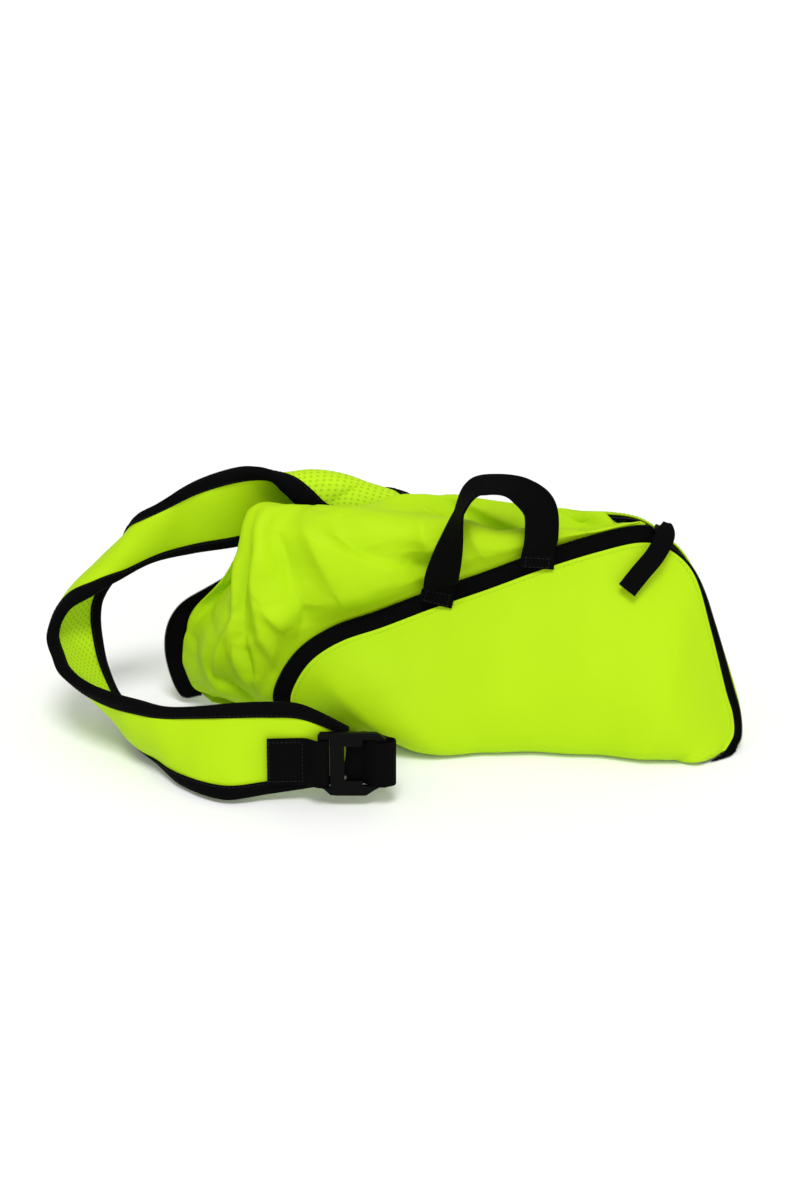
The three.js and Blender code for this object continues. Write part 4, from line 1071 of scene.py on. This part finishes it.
pull_frames = route_frames(pull_at, pull_side, 120)
spread = smooth_step((np.linspace(0, 1, 120) - 0.4) / 0.2)
pull_scale = (PULL_NECK + (PULL_WIDTH - PULL_NECK) * spread) / PULL_WIDTH
sweep("zip_pull_woven", pull_frames, webbing_section(PULL_WIDTH, PULL_WALL), webbing,
      ["zip_pull_ribbon"], pull_scale)

# %% Buckle end frame
BUCKLE_WIDTH, BUCKLE_HEIGHT, BUCKLE_THICK = 41, 39, 3.8
STRAP_WEBBING, ADJUSTER_WEBBING, LOCK_WEBBING_WALL = 30, 28.2, 1.4
# the lock follows the strap at its last row but one, a third of the way across
END_ROW, END_ACROSS = 25.0, 0.33
END_ORIGIN, low, high = strap_middle(np.full(3, END_ROW), np.array([END_ACROSS, 0, 1]))
END_UP = unit((high - low) * (0, 1, 1))
END_ALONG = np.array([1.0, 0, 0])
END_OUT = unit(np.cross(END_ALONG, END_UP))
# how far the lock's edge and its lower face lie from that point
LOCK_AHEAD, LOCK_OUT = 8.6, 5.6


def lock_point(along, out, over):
    """Along the lock from its edge, out of its lower face plus a share of its thickness."""
    out = LOCK_OUT + out + over * BUCKLE_THICK
    return END_ORIGIN + END_ALONG * (LOCK_AHEAD + along) + END_OUT * out


# %% Anchor webbing
# along | out of the lower face | share of the lock's thickness to add
ANCHOR_LOOP = [
    [-30.6, 0.2, 0], [-22.6, -0.2, 0], [-14.6, -0.6, 0], [-8.1, -0.6, 0], [-4.1, -0.2, 0.5],
    [-0.1, 1.1, 1], [4.2, 1.1, 1], [6.2, 0.05, 0.5], [4.2, -1, 0], [-0.1, -1.1, 0],
]
anchor_last = len(ANCHOR_LOOP) - 1
anchor_frames = route_frames(lambda s: lock_point(*rows_at(ANCHOR_LOOP, s * anchor_last)),
                             lambda s: END_UP, 120)
sweep("anchor_webbing", anchor_frames, webbing_section(STRAP_WEBBING, LOCK_WEBBING_WALL), webbing,
      ["strap_anchor_webbing"])

# %% Adjuster webbing
# through the lock as above, then middle x, y, z | side direction x, y, z back to the pouch
ADJUSTER_LOOP = [
    [17, -1.3, 0], [19.9, -1.4, 0], [23.4, -1.5, 0], [26.8, -1.2, 0], [31, 0.1, 0.5],
    [35.4, 1.3, 1], [40.9, 1.8, 1], [45.8, 0.7, 0.5], [46, -2.4, 0],
]
ADJUSTER_TAIL = [
    [-7, -81, 26, 0, 0.14, 1],
    [-13, -76, 25.2, 0.05, 0.16, 0.98],
    [-20, -70, 23, 0.16, 0.24, 0.95],
    [-27, -62, 19, 0.34, 0.32, 0.88],
    [-33, -52, 13.6, 0.54, 0.38, 0.74],
    [-38, -41, 9, 0.74, 0.38, 0.54],
    [-42, -29, 5, 0.92, 0.3, 0.22],
    [-44, -15, 2.2, 0.99, 0.16, 0.03],
    [-45, 1, 1.5, 1, 0.05, 0],
]
adjuster_rows = [[*lock_point(*row), *END_UP] for row in ADJUSTER_LOOP] + ADJUSTER_TAIL
last = len(adjuster_rows) - 1
adjuster_frames = route_frames(lambda s: rows_at(adjuster_rows, s * last)[:3],
                               lambda s: unit(rows_at(adjuster_rows, s * last)[3:]), 200)
sweep("adjuster_woven", adjuster_frames, webbing_section(ADJUSTER_WEBBING, LOCK_WEBBING_WALL), webbing,
      ["adjuster_webbing"])

# %% [markdown]
# ## Ladder lock
#
# The lock is a moulded plate with three windows that grips the webbing by friction. It starts
# as a flat plane the size of the plate, which is cut along the edges of its windows. The window
# faces are deleted, the rest is pushed out to the plate's thickness, and its edges are rounded
# with a bevel. Boolean cuts would make the windows as well, but they leave long thin faces, and
# a bevel runs better round the clean edges of a bisected plane.

# %% Ladder lock
# from | to along the lock | height of the window
WINDOWS = [(4, 7.4, 30.7), (16, 23, 22.2), (27, 35, 28.9)]
bpy.ops.object.select_all(action="DESELECT")
bpy.ops.mesh.primitive_plane_add(size=1, location=(0, 0, 0))
lock = bpy.context.object
lock.name = "ladder_lock_moulded"
bpy.ops.object.mode_set(mode="EDIT")
bpy.ops.mesh.select_all(action="SELECT")
bpy.ops.transform.resize(value=(BUCKLE_WIDTH, BUCKLE_HEIGHT + 1, 1))
bpy.ops.transform.translate(value=(BUCKLE_WIDTH / 2, -0.5, 0))
# the last four cuts give the slopes of the outline their points
cuts_x = sorted(x for first, final, _ in WINDOWS for x in (first, final))
for x in cuts_x + [1.5, 11.5, 29, 38]:
    bpy.ops.mesh.select_all(action="SELECT")
    bpy.ops.mesh.bisect(plane_co=(x, 0, 0), plane_no=(1, 0, 0))
for y in sorted(side * tall / 2 for _, _, tall in WINDOWS for side in (-1, 1)):
    bpy.ops.mesh.select_all(action="SELECT")
    bpy.ops.mesh.bisect(plane_co=(0, y, 0), plane_no=(0, 1, 0))
bpy.ops.object.mode_set(mode="OBJECT")
for face in lock.data.polygons:
    x, y, _ = face.center
    face.select = any(a < x < b and abs(y) < tall / 2 for a, b, tall in WINDOWS)
bpy.ops.object.mode_set(mode="EDIT")
bpy.ops.mesh.delete(type="FACE")
bpy.ops.mesh.select_all(action="SELECT")
bpy.ops.mesh.extrude_region_move(TRANSFORM_OT_translate={"value": (0, 0, BUCKLE_THICK)})
bpy.ops.mesh.select_all(action="SELECT")
bpy.ops.mesh.normals_make_consistent(inside=False)
bpy.ops.object.mode_set(mode="OBJECT")
print("lock faces", len(lock.data.polygons))

# %% Round the lock
# the lower edge slopes up at both ends, and the upper corners are cut a little
for v in lock.data.vertices:
    x, y = v.co.x, v.co.y
    if y < -BUCKLE_HEIGHT / 2:
        v.co.y += 6.5 * (1 - smooth_step(x / 9)) + 7.5 * smooth_step((x - 28) / 13)
    if y > BUCKLE_HEIGHT / 2 - 0.1:
        v.co.y -= 2 * (1 - smooth_step(x / 1.5)) + 4 * smooth_step((x - 36) / 5)


def round_edges(piece, width, sharper_than):
    bevel = piece.modifiers.new("round", "BEVEL")
    bevel.width = width
    bevel.segments = 3
    bevel.limit_method = "ANGLE"
    bevel.angle_limit = math.radians(sharper_than)
    bpy.context.view_layer.objects.active = piece
    bpy.ops.object.modifier_apply(modifier="round")


round_edges(lock, 0.7, 40)
print("lock faces once rounded", len(lock.data.polygons))


# %% Put a hard piece in place
def settle(piece, side, along, out, origin, material, nodes):
    turn = Matrix([[side[k], along[k], out[k], origin[k]] for k in range(3)] + [[0, 0, 0, 1]])
    piece.data.transform(turn)
    piece.data.transform(Matrix.Translation(Vector(SHIFT)))
    piece.data.transform(Matrix.Scale(MM, 4))
    piece.data.materials.clear()
    piece.data.materials.append(material)
    piece.data.polygons.foreach_set("use_smooth", [True] * len(piece.data.polygons))
    piece.data.set_sharp_from_angle(angle=math.radians(35))
    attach(piece, "root")
    if nodes:
        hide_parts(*nodes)


settle(lock, END_ALONG, END_UP, END_OUT, lock_point(0, 0, 0), lock_plastic,
       ["ladder_lock_buckle"])

# %% [markdown]
# ## Zip slider
#
# The slider is a small wedge with a bail that holds the pull. A cube is narrowed towards its
# closing end and rounded. The bail is a ring that stands on edge, with its lower half pressed
# flat against the slider. That is simpler than a bar spun round an arc and capped.

# %% Zip slider
bpy.ops.object.select_all(action="DESELECT")
bpy.ops.mesh.primitive_cube_add(size=1, location=(0, 0, 0))
slider = bpy.context.object
slider.name = "zip_slider_moulded"
bpy.ops.object.mode_set(mode="EDIT")
bpy.ops.transform.resize(value=(7.6, 11.5, SLIDER_HEIGHT))
bpy.ops.transform.translate(value=(0, 0, SLIDER_HEIGHT / 2))
bpy.ops.mesh.subdivide(number_cuts=3)
bpy.ops.object.mode_set(mode="OBJECT")
for v in slider.data.vertices:
    if v.co.y < 0:
        v.co.x *= 1 + 0.045 * v.co.y
    if v.co.z > SLIDER_HEIGHT - 0.1:
        v.co.x *= 0.86
        v.co.y *= 0.92
round_edges(slider, 0.5, 30)
settle(slider, slider_along, slider_across, slider_out, slider_centre, slider_plastic,
       ["zip_slider"])

# %% Slider bail
bpy.ops.object.select_all(action="DESELECT")
bpy.ops.mesh.primitive_torus_add(major_radius=BAIL_RADIUS, minor_radius=ROD, major_segments=32,
                                 minor_segments=10, location=(0, 0, 0), rotation=(math.pi / 2, 0, 0))
bail = bpy.context.object
bail.name = "zip_slider_bail"
bpy.ops.object.transform_apply(location=False, rotation=True, scale=False)
for v in bail.data.vertices:
    if v.co.z < 0:
        v.co.z *= 0.4
    v.co.z += SLIDER_HEIGHT + 0.9
settle(bail, slider_along, slider_across, slider_out, slider_centre, slider_plastic,
       [])

# %% [markdown]
# ## Seams
#
# A lockstitch runs just below the hem of each panel, and box stitches hold the feet of the
# handle and the anchor webbing. Each stitch is a tiny bead, copied along its line. A bump could
# draw them too, but beads catch the light by themselves and show on the outline of a hem.

# %% Panel stitches
PANEL_STITCH, PANEL_STITCH_SPACING = (2.0, 0.45, 0.35), 2.9
BELOW_HEM, STITCH_LIFT = 2.4, 0.12
share = np.linspace(0.02, 0.99, 600)
lines = []
for own_hem, last_row in ((front_hem, FRONT_LAST), (back_hem, BACK_LAST)):
    hem, away, inner, _ = own_hem(share * last_row)
    lines.append((hem - away * BELOW_HEM - inner * (CLOTH / 2 + STITCH_LIFT), -inner))
rows_of_beads("panel_stitches", lines, thread_green, PANEL_STITCH, PANEL_STITCH_SPACING)


# %% Webbing stitches
def box_lines(frames, first, final, half_width, wall):
    """Lines of a stitched box on both faces of a webbing, with their outward directions."""
    origin, side, up, _ = frames
    out = []
    for face in (1, -1):
        rows = slice(first, final)
        for edge in (-half_width, half_width):
            out.append((origin[rows] + side[rows] * edge + up[rows] * face * wall, up[rows] * face))
        for k in (first, final - 1):
            steps = np.linspace(-half_width, half_width, 12)[:, None]
            out.append((origin[k] + side[k] * steps + up[k] * face * wall,
                        np.repeat((up[k] * face)[None], 12, 0)))
    return out


BOX_STITCH, BOX_STITCH_SPACING = (1.9, 0.6, 0.45), 2.6
HANDLE_BOX, ANCHOR_BOX, THREAD_LIFT = 7.2, 12.5, 0.1
lines = box_lines(handle_frames, 3, 16, HANDLE_BOX, WEBBING_WALL / 2 + THREAD_LIFT)
lines += box_lines(handle_frames, 184, 197, HANDLE_BOX, WEBBING_WALL / 2 + THREAD_LIFT)
lines += box_lines(anchor_frames, 3, 38, ANCHOR_BOX, LOCK_WEBBING_WALL / 2 + THREAD_LIFT)
rows_of_beads("webbing_stitches", lines, thread_black, BOX_STITCH,
              BOX_STITCH_SPACING)
